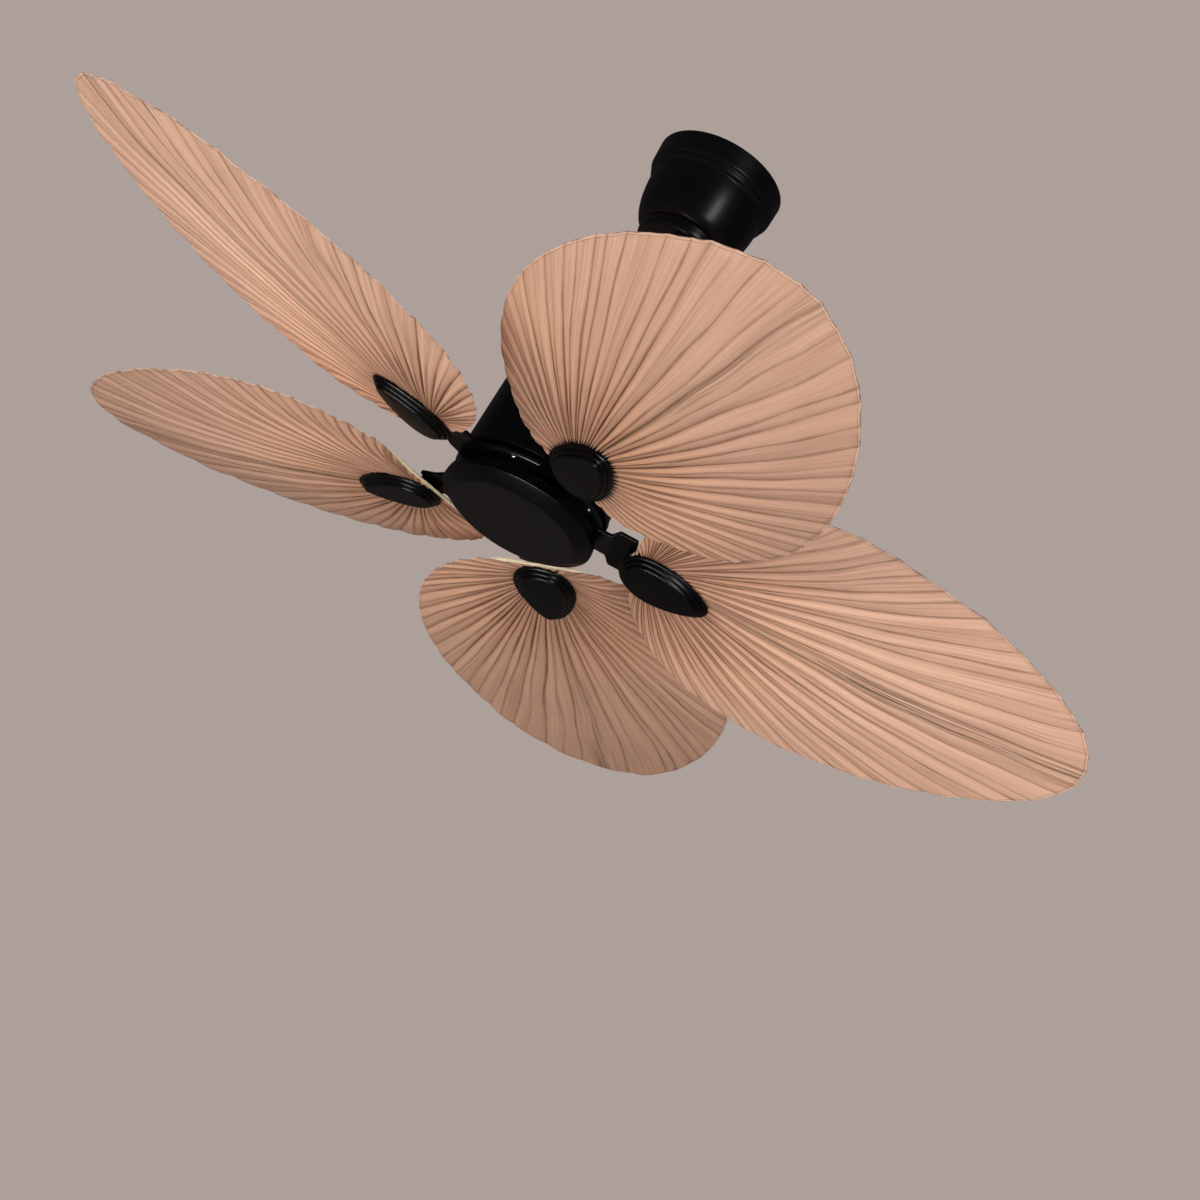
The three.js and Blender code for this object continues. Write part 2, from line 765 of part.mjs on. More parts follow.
// Bottom cap with what it covers
function capPlate() {
  return ring(
    shaftRadius + seatGap,
    capTopRadius - sheetWall - capRimWidth,
    capPlateTop - capPlateThickness,
    capPlateTop,
    middleFacets,
  );
}

function shaftNut() {
  const top = capPlateTop - capPlateThickness - seatGap;
  const bottom = top - shaftNutHeight;
  const threadHole = disc(shaftRadius + seatGap, bottom - throughCut, top + throughCut, shaftFacets);
  return cut(disc(shaftNutRadius, bottom, top, 6), threadHole);
}

function capacitor() {
  const top = capPlateTop - capPlateThickness - seatGap;
  const middle = top - capacitorHeight / 2;
  return box(capacitorLength, capacitorWidth, capacitorHeight, 0, capacitorOffset, middle);
}

function bottomCap() {
  const bevelTop = [capEdgeRadius - capEdgeWidth, capEdgeZ - capEdgeHeight];
  const bevel = quarter(bevelTop, [capFieldRadius, capBottom], 3, false);
  return turned(
    [
      [0, capBottom],
      ...bevel.reverse(),
      [capEdgeRadius, capEdgeZ],
      [capTopRadius + capRimSwell, capTop - capRimHeight],
      [capTopRadius - capRimWidth, capTop],
      [capTopRadius - sheetWall, capTop],
      [capEdgeRadius - 2 * sheetWall, capEdgeZ],
      [capFieldRadius, capBottom + sheetWall],
      [0, capBottom + sheetWall],
    ],
    largeFacets,
  );
}

// Blades
// Rows of points, each a closed loop round the piece, skinned into one solid with fanned ends.
function skinned(loops) {
  const count = loops[0].length;
  const positions = loops.flat().flatMap((p) => [p.x, p.y, p.z]);
  const index = [];
  const at = (row, i) => row * count + (i % count);
  for (let row = 0; row + 1 < loops.length; row++)
    for (let i = 0; i < count; i++) {
      index.push(at(row, i), at(row, i + 1), at(row + 1, i + 1));
      index.push(at(row, i), at(row + 1, i + 1), at(row + 1, i));
    }
  for (const [row, forward] of [[0, false], [loops.length - 1, true]]) {
    const middle = new THREE.Vector3();
    loops[row].forEach((p) => middle.addScaledVector(p, 1 / count));
    positions.push(middle.x, middle.y, middle.z);
    const hub = positions.length / 3 - 1;
    for (let i = 0; i < count; i++)
      index.push(hub, ...(forward ? [at(row, i), at(row, i + 1)] : [at(row, i + 1), at(row, i)]));
  }
  const geometry = new THREE.BufferGeometry();
  geometry.setAttribute("position", new THREE.Float32BufferAttribute(positions, 3));
  geometry.setIndex(index);
  return welded(geometry);
}

// Half the width of a leaf's egg outline at an angle t round it.
function eggHalfWidth(leaf, t) {
  return leaf.spread * leafHalfWidth * Math.sin(t) * Math.exp(leafEggShape * Math.cos(t));
}

// Half the width of the straight root edge.
function rootHalfWidth(leaf) {
  const halfLength = (sweepRadius - leaf.eggStart) / 2;
  const t = Math.acos((leaf.rootX - leaf.eggStart) / halfLength - 1);
  return eggHalfWidth(leaf, t);
}

// Where the fold lines end on the leaf's edge, measured from the point where they all meet.
function leafEdge(leaf, count) {
  const halfLength = (sweepRadius - leaf.eggStart) / 2;
  const middleX = leaf.eggStart + halfLength - leafFocusX;
  const fine = [];
  const steps = 720;
  for (let i = 0; i <= steps; i++) {
    const t = (i / steps) * 2 * Math.PI;
    fine.push(new THREE.Vector2(middleX + halfLength * Math.cos(t), eggHalfWidth(leaf, t)));
  }
  return fanSpaced(cutStraight(fine, leaf.rootX - leafFocusX), count);
}

// The part of a closed outline beyond a straight root cut, with the cut's two corners.
function cutStraight(points, rootX) {
  const kept = [];
  for (let i = 0; i + 1 < points.length; i++) {
    const [p, q] = [points[i], points[i + 1]];
    if (p.x >= rootX) kept.push(p);
    if (p.x >= rootX !== q.x >= rootX) kept.push(p.clone().lerp(q, (rootX - p.x) / (q.x - p.x)));
  }
  return kept;
}

// Points along a closed outline, wider apart the longer the way back to the middle is.
function fanSpaced(points, count) {
  const loop = [...points, points[0]];
  const gone = [0];
  for (let i = 1; i < loop.length; i++) {
    const reach = (loop[i].length() + loop[i - 1].length()) / 2;
    gone.push(gone[i - 1] + loop[i].distanceTo(loop[i - 1]) / Math.sqrt(reach));
  }
  const spaced = [];
  let seg = 1;
  for (let i = 0; i < count; i++) {
    const goal = (gone.at(-1) * i) / count;
    while (gone[seg] < goal) seg++;
    const share = (goal - gone[seg - 1]) / (gone[seg] - gone[seg - 1]);
    spaced.push(loop[seg - 1].clone().lerp(loop[seg], share));
  }
  return spaced;
}

// Height of the leaf's middle surface at a point measured from the pleats' meeting point.
function leafHeight(leaf, x, y) {
  const along = Math.max(x, 0) / (sweepRadius - leafFocusX);
  const across = y / leafHalfWidth;
  const bent =
    leaf.tipRise * (leaf.sag * along + (1 - leaf.sag) * along ** 2) +
    (leafCup + leaf.extraCup) * across ** 2 +
    leaf.twist * along * across;
  return bent * smooth(clampReach, 3 * clampReach, Math.hypot(x, y));
}

// Height of a fold above or below that surface: least at the clamp and the edge.
function pleatHeight(distance, share) {
  if (distance <= clampReach) return (pleatRiseAtClamp * distance) / clampReach;
  const opened = smooth(clampReach, 3 * clampReach, distance);
  const closing = smooth(0.5, 1, share);
  const full = pleatRiseAtClamp + (pleatRise - pleatRiseAtClamp) * opened;
  return full + (pleatRiseAtEdge - pleatRise) * closing * opened;
}

// A fan of pleats from one point: fold lines run to the edge, high and low by turns.
function palmLeafGeometry(leaf) {
  const folds = 2 * leafPleats;
  const edge = leafEdge(leaf, folds);
  const positions = [0, 0, leafThickness / 2, 0, 0, -leafThickness / 2];
  const place = (x, y, z) => {
    positions.push(x, y, z + leafThickness / 2, x, y, z - leafThickness / 2);
  };
  for (const ringShare of leafRings)
    edge.forEach((rim, i) => {
      const reach = rim.length();
      const inner = Math.min(clampReach / reach, clampShareLimit);
      const share = inner + (1 - inner) * ringShare;
      const [x, y] = [rim.x * share, rim.y * share];
      const fold = (i % 2 ? -1 : 1) * pleatHeight(reach * share, share);
      place(x, y, leafHeight(leaf, x, y) + fold);
    });
  const index = [];
  const top = (row, i) => 2 + 2 * (row * folds + (i % folds));
  const both = (a, b, c) => {
    index.push(a, b, c, a + 1, c + 1, b + 1);
  };
  for (let i = 0; i < folds; i++) {
    both(0, top(0, i), top(0, i + 1));
    for (let row = 0; row + 1 < leafRings.length; row++) {
      both(top(row, i), top(row + 1, i), top(row + 1, i + 1));
      both(top(row, i), top(row + 1, i + 1), top(row, i + 1));
    }
    const [a, b] = [top(leafRings.length - 1, i), top(leafRings.length - 1, i + 1)];
    index.push(a, a + 1, b, b, a + 1, b + 1);
  }
  const geometry = new THREE.BufferGeometry();
  geometry.setAttribute("position", new THREE.Float32BufferAttribute(positions, 3));
  geometry.setIndex(index);
  return geometry;
}

const bossPlaces = [
  [bossInnerX, bossInnerY],
  [bossInnerX, -bossInnerY],
  [bossOuterX, 0],
];

function leafBlade(leaf) {
  const holes = bossPlaces.map(([x, y]) => {
    const hole = disc(bossRadius + bossClearance, -3 * pleatRise, 3 * pleatRise, tinyFacets);
    return hole.translate(x - leafFocusX, y, 0).rotateZ(-leaf.yaw);
  });
  return cut(palmLeafGeometry(leaf), ...holes);
}

function medallionOutline(inset, z) {
  const points = [];
  for (let i = 0; i < medallionFacets; i++) {
    const t = (i / medallionFacets) * 2 * Math.PI;
    const swell = Math.exp(medallionEggShape * Math.cos(t));
    const x = (medallionLength * (1 - Math.cos(t))) / 2;
    const y = medallionHalfWidth * Math.sin(t) * swell;
    const slopeX = (medallionLength * Math.sin(t)) / 2;
    const slopeY = medallionHalfWidth * swell * (Math.cos(t) - medallionEggShape * Math.sin(t) ** 2);
    const length = Math.hypot(slopeX, slopeY);
    points.push(new THREE.Vector3(x + (inset * slopeY) / length, y - (inset * slopeX) / length, z));
  }
  return points;
}

// A cast shield whose ridges step down to a flat field, and bosses that reach the iron.
function medallion() {
  const loops = [medallionOutline(0, 0), medallionOutline(0, -0.5 * medallionRise)];
  for (let ridge = 0; ridge < medallionRidges; ridge++) {
    const face = (ridge + ridgeFaceWidth) * medallionStep;
    loops.push(medallionOutline(face, -(ridge + ridgeFaceRise) * medallionRise));
    loops.push(medallionOutline((ridge + 1) * medallionStep, -(ridge + 1) * medallionRise));
  }
  const shield = skinned(loops);
  const bosses = bossPlaces.map(([x, y]) =>
    disc(bossRadius, -1, ironUnder - seatGap, tinyFacets).translate(x - medallionStart, y, 0),
  );
  return joined(shield, ...bosses);
}

// A pale splint along the leaf's straight root edge, bent as the leaf is.
function rootSplint(leaf) {
  const loops = [];
  const stations = 4;
  const outerX = leaf.rootX - leafFocusX - seatGap;
  const halfLength = rootHalfWidth(leaf) - splintEndGap;
  for (let i = 0; i <= stations; i++) {
    const y = ((2 * i) / stations - 1) * halfLength;
    const z = leafHeight(leaf, outerX, y);
    const [low, high] = [z - splintThickness / 2, z + splintThickness / 2];
    loops.push([
      new THREE.Vector3(outerX - splintWidth, y, low),
      new THREE.Vector3(outerX - splintWidth, y, high),
      new THREE.Vector3(outerX, y, high),
      new THREE.Vector3(outerX, y, low),
    ]);
  }
  return skinned(loops);
}

function tongueHalfWidth(x) {
  const narrowing = (x - ironPlateEnd) / (ironTipX - ironPlateEnd);
  return THREE.MathUtils.lerp(ironTongueHalfWidth, ironTipHalfWidth, narrowing ** 1.4);
}

// A cast arm: a pad under the flywheel, twisted into a wide plate, then a tongue that lies over the leaf.
function bladeIron() {
  const tongueStart = ironPlateEnd + ironStepLength;
  const stations = [
    [ironPadStart, ironPadHalfWidth],
    [ironTwistStart, ironPadHalfWidth],
    [(ironTwistStart + ironTwistEnd) / 2, (ironPadHalfWidth + ironPlateHalfWidth) / 2],
    [ironTwistEnd, ironPlateHalfWidth],
    [ironPlateEnd - ironCornerCut, ironPlateHalfWidth],
    [ironPlateEnd, ironPlateHalfWidth - ironCornerCut],
    [ironPlateEnd + ironCornerCut, tongueHalfWidth(ironPlateEnd)],
    [tongueStart, tongueHalfWidth(tongueStart)],
    [(tongueStart + ironTipX) / 2, tongueHalfWidth((tongueStart + ironTipX) / 2)],
    [ironTipX - ironTipHalfWidth / 2, ironTipHalfWidth],
    [ironTipX, ironTipHalfWidth / 2],
  ];
  const padMid = flywheelBottom - seatGap - ironThickness / 2;
  const overLeaf = ironUnder + ironThickness / 2;
  const loops = stations.map(([x, half]) => {
    const pitch = bladePitch * degrees * smooth(ironTwistStart, ironTwistEnd, x);
    const drop = (x - medallionStart) * Math.tan(bladeDroop * degrees);
    const tongueZ = medallionZ - drop + overLeaf / Math.cos(pitch);
    const z = THREE.MathUtils.lerp(padMid, tongueZ, smooth(ironPlateEnd, tongueStart, x));
    const section = [
      [-half, ironThickness / 2],
      [-half, -ironThickness / 2],
      [half, -ironThickness / 2],
      [half, ironThickness / 2],
    ];
    return section.map(
      ([across, up]) =>
        new THREE.Vector3(
          x,
          across * Math.cos(pitch) - up * Math.sin(pitch),
          z + across * Math.sin(pitch) + up * Math.cos(pitch),
        ),
    );
  });
  return skinned(loops);
}

// Assembly
const fan = new THREE.Group();

fan.add(named("hanger_bracket", hangerBracket(), zincSteel));
fan.add(named("canopy", canopyShell(), blackMetal));
fan.add(named("canopy_trim_ring", canopyTrim(), blackMetal));
[0, 1].forEach((side) => {
  const turn = new THREE.Group();
  turn.rotation.z = side * Math.PI;
  turn.add(named(`canopy_screw_${side + 1}`, canopyScrew(), blackMetal));
  fan.add(turn);
});

fan.add(named("hanger_ball", hangerBall(), ballPlastic));
fan.add(named("ball_pin", crossBar(ballPinRadius, ballPinLength, ballZ + ballPinRise), steel));
fan.add(named("downrod", downrod(), blackMetal));
fan.add(named("coupling_cover", couplingCover(), blackMetal));
fan.add(named("motor_coupling", motorCoupling(), zincSteel));
fan.add(named("clevis_pin", clevisPin(), steel));
fan.add(named("stator_shaft", statorShaft(), steel));
fan.add(named("motor_housing", motorHousing(), blackMetal));
fan.add(named("stator_core", statorCore(), lamination));
fan.add(named("stator_winding", statorWinding(), copper));
fan.add(named("bearing_inner_upper", innerRace(upperBearingTop), steel));
fan.add(named("bearing_inner_lower", innerRace(lowerBearingTop), steel));
fan.add(named("cap_plate", capPlate(), zincSteel));
fan.add(named("shaft_nut", shaftNut(), zincSteel));
fan.add(named("capacitor", capacitor(), greyPlastic));
fan.add(named("bottom_cap", bottomCap(), blackMetal));

fan.add(named("rotor_shell", rotorTopShell(), castMetal));
fan.add(named("flywheel", flywheel(), castMetal));
fan.add(named("rotor_cage", rotorCage(), lamination));
fan.add(named("bearing_outer_upper", outerRace(upperBearingTop), steel));
fan.add(named("bearing_outer_lower", outerRace(lowerBearingTop), steel));

for (let i = 0; i < bladeCount; i++) {
  const own = (list) => list[i % list.length];
  const leaf = {
    spread: own(leafSpreads),
    tipRise: own(leafTipRises),
    extraCup: own(leafExtraCups),
    twist: own(leafTwists),
    sag: own(leafSags),
    yaw: own(leafYaws) * degrees,
    rootX: own(leafRootXs),
    eggStart: own(leafEggStarts),
  };
  const spoke = new THREE.Group();
  spoke.rotation.z = (i * 2 * Math.PI) / bladeCount;
  const blade = new THREE.Group();
  blade.position.set(medallionStart, 0, medallionZ);
  blade.rotation.set(bladePitch * degrees, bladeDroop * degrees, 0, "YXZ");
  const leafFrame = new THREE.Group();
  leafFrame.position.set(leafFocusX - medallionStart, 0, leafMid);
  leafFrame.rotation.z = leaf.yaw;
  leafFrame.add(named(`leaf_${i + 1}`, leafBlade(leaf), palmLeaf));
  leafFrame.add(named(`root_splint_${i + 1}`, rootSplint(leaf), cane));
  blade.add(named(`medallion_${i + 1}`, medallion(), blackMetal));
  blade.add(leafFrame);
  spoke.add(named(`blade_iron_${i + 1}`, bladeIron(), blackMetal));
  spoke.add(blade);
  fan.add(spoke);
}

export default fan;
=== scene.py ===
import bisect
import math
import random

import bpy
from mathutils import Matrix, Vector, noise


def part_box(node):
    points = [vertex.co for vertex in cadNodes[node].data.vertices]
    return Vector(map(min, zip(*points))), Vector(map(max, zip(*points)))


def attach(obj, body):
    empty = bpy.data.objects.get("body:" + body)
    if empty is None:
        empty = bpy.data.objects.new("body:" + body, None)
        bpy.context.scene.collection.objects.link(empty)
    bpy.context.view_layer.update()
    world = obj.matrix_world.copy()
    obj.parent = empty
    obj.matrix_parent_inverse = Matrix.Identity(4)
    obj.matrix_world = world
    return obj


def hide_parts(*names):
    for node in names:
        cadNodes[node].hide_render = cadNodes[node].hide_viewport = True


# Looks of the ceiling fan: satin black turned metal, cast irons and medallions, pleated palm leaves.
# Metres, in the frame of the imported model: the ceiling face is at the origin and +Z is up.
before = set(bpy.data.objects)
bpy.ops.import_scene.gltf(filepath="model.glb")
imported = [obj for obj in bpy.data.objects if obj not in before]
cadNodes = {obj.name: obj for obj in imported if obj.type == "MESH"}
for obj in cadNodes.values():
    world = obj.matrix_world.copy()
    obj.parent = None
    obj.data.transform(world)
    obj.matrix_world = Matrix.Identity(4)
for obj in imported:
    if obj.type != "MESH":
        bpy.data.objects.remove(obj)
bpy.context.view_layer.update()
fullTurn = 2 * math.pi


def smoothStep(start, end, x):
    t = min(max((x - start) / (end - start), 0.0), 1.0)
    return t * t * (3 - 2 * t)


def between(a, b, t):
    return a + (b - a) * t


def spaced(start, end, count):
    return [between(start, end, k / count) for k in range(count + 1)]


def turned(x, y, angle):
    return x * math.cos(angle) - y * math.sin(angle), x * math.sin(angle) + y * math.cos(angle)


def circlePoint(radius, angle, z=0.0):
    return Vector((radius * math.cos(angle), radius * math.sin(angle), z))


def newObject(name, data):
    made = bpy.data.objects.new(name, data)
    bpy.context.scene.collection.objects.link(made)
    return made


def facing(place, aim):
    return (Vector(aim) - Vector(place)).to_track_quat("-Z", "Y")


# The camera stands low and in front, tilted as the photographer held it.
cameraValues = {"place": (0.3093, -2.6346, -1.6473), "aim": (0.1220, 0.0087, -0.5292), "roll": 29.955,
                "lens": 80.81, "farthest": 100}


def addCamera(values):
    lens = bpy.data.cameras.new("camera")
    lens.lens, lens.clip_end = values["lens"], values["farthest"]
    camera = newObject("camera", lens)
    level = facing(values["place"], values["aim"]).to_matrix().to_4x4()
    roll = Matrix.Rotation(math.radians(values["roll"]), 4, "Z")
    camera.matrix_world = Matrix.Translation(values["place"]) @ level @ roll
    bpy.context.scene.camera = camera


addCamera(cameraValues)
bpy.context.scene.view_settings.view_transform = "Standard"
print("camera placed")


def put(tree, kind, inputs=None, **settings):
    made = tree.nodes.new(kind)
    for name, value in settings.items():
        setattr(made, name, value)
    for name, value in (inputs or {}).items():
        if isinstance(value, bpy.types.NodeSocket):
            tree.links.new(value, made.inputs[name])
        else:
            made.inputs[name].default_value = value
    return made


def newMaterial(name, **values):
    material = bpy.data.materials.new(name)
    material.use_nodes = True
    tree = material.node_tree
    shader = tree.nodes["Principled BSDF"]
    for title, value in values.items():
        shader.inputs[title.replace("_", " ")].default_value = value
    return material, tree, shader


def ramp(tree, factor, low, high, lowOut=0.0, highOut=1.0):
    made = put(tree, "ShaderNodeMapRange", {"Value": factor, "From Min": low, "From Max": high,
                                            "To Min": lowOut, "To Max": highOut})
    return made.outputs["Result"]


def calc(tree, operation, *values):
    return put(tree, "ShaderNodeMath", dict(enumerate(values)), operation=operation).outputs[0]


def times(tree, product, *others):
    for other in others:
        product = calc(tree, "MULTIPLY", product, other)
    return product


def mixed(tree, factor, a, b):
    ends = [value if isinstance(value, bpy.types.NodeSocket) else (*value, 1) for value in (a, b)]
    return put(tree, "ShaderNodeMix", {0: factor, 6: ends[0], 7: ends[1]}, data_type="RGBA").outputs[2]


def noisy(tree, coordinates, scale, detail, roughness=0.5):
    return put(tree, "ShaderNodeTexNoise", {"Vector": coordinates, "Scale": scale, "Detail": detail,
                                            "Roughness": roughness}).outputs["Fac"]


def bumped(tree, shader, height, strength, distance):
    made = put(tree, "ShaderNodeBump", {"Height": height, "Strength": strength, "Distance": distance})
    tree.links.new(made.outputs["Normal"], shader.inputs["Normal"])


# Studio: one plain colour behind everything, soft boxes, and a floor far below.
studio = {
    "backdrop": (0.418, 0.352, 0.328),
    "ambient": (1.0, 0.97, 0.95),
    "ambientStrength": 0.27,
    "mirrored": (0.048, 0.042, 0.041),
    "floorHeight": -5.6,
    "floorSize": 60.0,
    "floorColour": (0.42, 0.36, 0.335),
    "floorRoughness": 0.9,
    "floorGlow": 0.62,
    "lamps": {
        # Place, aim, size, power, and whether the lamp shows in diffuse light and in glossy reflections.
        "leftFill": ((-2.6, -1.9, -1.5), (0, 0, -0.45), (0.9, 1.5), 82, (True, False)),
        "rightFill": ((2.0, -2.4, -2.2), (0.3, 0, -0.5), (1.3, 1.3), 62, (True, False)),
        "lowBox": ((-0.3, -1.1, -3.0), (0, 0, -0.5), (1.1, 0.4), 22, (True, True)),
        "rightStrip": ((1.4, -2.4, -0.25), (0, 0, -0.25), (0.5, 2.0), 44, (False, True)),
        "topFill": ((0.3, 0.8, 2.2), (0, 0, -0.4), (2.0, 2.0), 36, (True, False)),
        "edgeStrip": ((-0.2, -0.95, -2.7), (0, 0, -0.5), (1.5, 0.22), 55, (False, True)),
    },
}


def buildWorld(values):
    world = bpy.data.worlds.new("studio")
    world.use_nodes = True
    tree = world.node_tree
    tree.nodes.clear()
    rays = put(tree, "ShaderNodeLightPath").outputs
    light, wall, dim = (
        put(tree, "ShaderNodeBackground", {"Color": (*values[title], 1), "Strength": strength}).outputs[0]
        for title, strength in (("ambient", values["ambientStrength"]), ("backdrop", 1.0), ("mirrored", 1.0)))
    lit = put(tree, "ShaderNodeMixShader", {0: rays["Is Glossy Ray"], 1: light, 2: dim})
    both = put(tree, "ShaderNodeMixShader", {0: rays["Is Camera Ray"], 1: lit.outputs[0], 2: wall})
    put(tree, "ShaderNodeOutputWorld", {"Surface": both.outputs[0]})
    bpy.context.scene.world = world


def addLamp(name, place, aim, size, power, shows):
    light = bpy.data.lights.new(name, "AREA")
    light.shape = "RECTANGLE"
    light.size, light.size_y = size
    light.energy = power
    lamp = newObject(name, light)
    lamp.visible_diffuse, lamp.visible_glossy = shows
    lamp.location = place
    lamp.rotation_euler = facing(place, aim).to_euler()


def addFloor(values):
    half = values["floorSize"] / 2
    mesh = bpy.data.meshes.new("studioFloor")
    corners = [(-half, -half, 0), (half, -half, 0), (half, half, 0), (-half, half, 0)]
    mesh.from_pydata(corners, [], [(0, 1, 2, 3)])
    floor = newObject("studioFloor", mesh)
    floor.location.z = values["floorHeight"]
    # Seen directly, the floor is about as pale as the backdrop; it throws no extra light on the leaves.
    colour = (*values["floorColour"], 1)
    paint, tree, shader = newMaterial("floorPaint", Base_Color=colour, Emission_Color=colour,
                                      Roughness=values["floorRoughness"])
    glow = times(tree, put(tree, "ShaderNodeLightPath").outputs["Is Camera Ray"], values["floorGlow"])
    tree.links.new(glow, shader.inputs["Emission Strength"])
    mesh.materials.append(paint)


buildWorld(studio)
for lampName, lampValues in studio["lamps"].items():
    addLamp(lampName, *lampValues)
addFloor(studio)
print("studio lit")


def newGroup(name, inputs, outputs):
    # Every socket is a single value, but for inputs without a default, which are vectors.
    group = bpy.data.node_groups.new(name, "ShaderNodeTree")
    for title, value in inputs.items():
        kind = "NodeSocketVector" if value is None else "NodeSocketFloat"
        socket = group.interface.new_socket(name=title, in_out="INPUT", socket_type=kind)
        if value is not None:
            socket.default_value = value
    for title in outputs:
        group.interface.new_socket(name=title, in_out="OUTPUT", socket_type="NodeSocketFloat")
    return group, put(group, "NodeGroupInput").outputs, put(group, "NodeGroupOutput").inputs


def grouped(tree, group, inputs):
    return put(tree, "ShaderNodeGroup", inputs, node_tree=group).outputs


def multiplied(tree, a, b):
    return put(tree, "ShaderNodeVectorMath", {0: a, 1: b}, operation="MULTIPLY").outputs[0]


grainForms = {
    "Fibres": {"scale": (1.0, 1.0, 1.0), "detail": 4.0, "roughness": 0.65},
    "Streaks": {"scale": (0.16, 0.35, 1.0), "detail": 3.0, "roughness": 0.55},
    "Strokes": {"scale": (0.10, 3.2, 1.0), "detail": 2.0, "roughness": 0.5},
}


def fibreGrainGroup(forms):
    # Long thin streaks across a pair of coordinates, as plant fibre has them.
    inputs = {"Coordinates": None, "Across": 20.0, "Along": 2.0}
    group, given, result = newGroup("fibreGrain", inputs, forms)
    scale = put(group, "ShaderNodeCombineXYZ", {0: given["Across"], 1: given["Along"], 2: 1.0}).outputs[0]
    fine = multiplied(group, given["Coordinates"], scale)
    for title, form in forms.items():
        streaks = noisy(group, multiplied(group, fine, form["scale"]), 1.0, form["detail"], form["roughness"])
        group.links.new(streaks, result[title])
    return group


def paintSkinGroup():
    # The slight unevenness of sprayed paint, with a little dust in wide patches.
    inputs = {"Grain": 900.0, "Patch": 14.0}
    group, given, result = newGroup("paintSkin", inputs, ("Height", "Patches"))
    place = put(group, "ShaderNodeTexCoord").outputs["Object"]
    for title, scale, detail in (("Height", "Grain", 2.0), ("Patches", "Patch", 4.0)):
        group.links.new(noisy(group, place, given[scale], detail), result[title])
    return group


fibreGrain = fibreGrainGroup(grainForms)
paintSkin = paintSkinGroup()

coats = {
    "paint": {"metallic": 0.0, "dust": (0.35, 0.7), "swing": (-0.03, 0.04), "depth": 0.0004},
    "metal": {"metallic": 1.0, "dust": (0.0, 1.0), "swing": (-0.06, 0.08), "depth": 0.0005},
}
sheenPatches = (0.3, 0.7)


def coatedMaterial(name, kind, colour, patches, roughness, gloss, grain, patch, bump):
    coat = coats[kind]
    material, tree, shader = newMaterial(name, Metallic=coat["metallic"], Specular_IOR_Level=gloss)
    skin = grouped(tree, paintSkin, {"Grain": grain, "Patch": patch})
    colour = mixed(tree, ramp(tree, skin["Patches"], *coat["dust"]), colour, patches)
    swing = [roughness + change for change in coat["swing"]]
    tree.links.new(colour, shader.inputs["Base Color"])
    tree.links.new(ramp(tree, skin["Patches"], *sheenPatches, *swing), shader.inputs["Roughness"])
    bumped(tree, shader, skin["Height"], bump, coat["depth"])
    return material


# Coat, colour, colour of its patches, roughness, gloss, grain, patch size and bump of each finish.
finishRows = {
    "satinBlack": ("paint", (0.0026, 0.0024, 0.0029), (0.0040, 0.0037, 0.0042), 0.30, 0.16, 1400, 9, 0.05),
    "capBlack": ("paint", (0.0034, 0.0030, 0.0032), (0.0048, 0.0043, 0.0045), 0.32, 0.15, 1400, 11, 0.05),
    # The next finish is a darker copy of the cap's black, for painted shade on its band and slope.
    "slopeShadeBlack": ("paint", (0.0010, 0.0009, 0.0012), (0.0018, 0.0016, 0.0019), 0.24, 0.16, 1400, 11, 0.05),
    "castBlack": ("paint", (0.0010, 0.0009, 0.0011), (0.0018, 0.0016, 0.0018), 0.25, 0.17, 700, 24, 0.08),
    "glossBlack": ("paint", (0.0035, 0.0035, 0.0040), (0.0050, 0.0050, 0.0055), 0.28, 0.25, 1400, 20, 0.03),
    "nylonBlack": ("paint", (0.018, 0.018, 0.019), (0.024, 0.024, 0.025), 0.5, 0.4, 1100, 30, 0.08),
    "greyCase": ("paint", (0.035, 0.035, 0.037), (0.045, 0.045, 0.047), 0.45, 0.45, 900, 25, 0.06),
    "zincPlate": ("metal", (0.62, 0.62, 0.60), (0.46, 0.46, 0.45), 0.36, 0.5, 260, 40, 0.05),
    "turnedSteel": ("metal", (0.66, 0.66, 0.67), (0.52, 0.52, 0.53), 0.24, 0.5, 900, 30, 0.03),
    "castAlloy": ("metal", (0.50, 0.50, 0.51), (0.36, 0.36, 0.37), 0.55, 0.5, 600, 30, 0.25),
    "coreSteel": ("metal", (0.17, 0.16, 0.16), (0.10, 0.09, 0.09), 0.5, 0.5, 500, 30, 0.2),
    "copperWire": ("metal", (0.62, 0.25, 0.10), (0.42, 0.15, 0.06), 0.35, 0.5, 800, 60, 0.3),
    "brightScrew": ("metal", (0.72, 0.72, 0.73), (0.6, 0.6, 0.61), 0.18, 0.5, 900, 60, 0.02),
}
finish = {name: coatedMaterial(name, *row) for name, row in finishRows.items()}

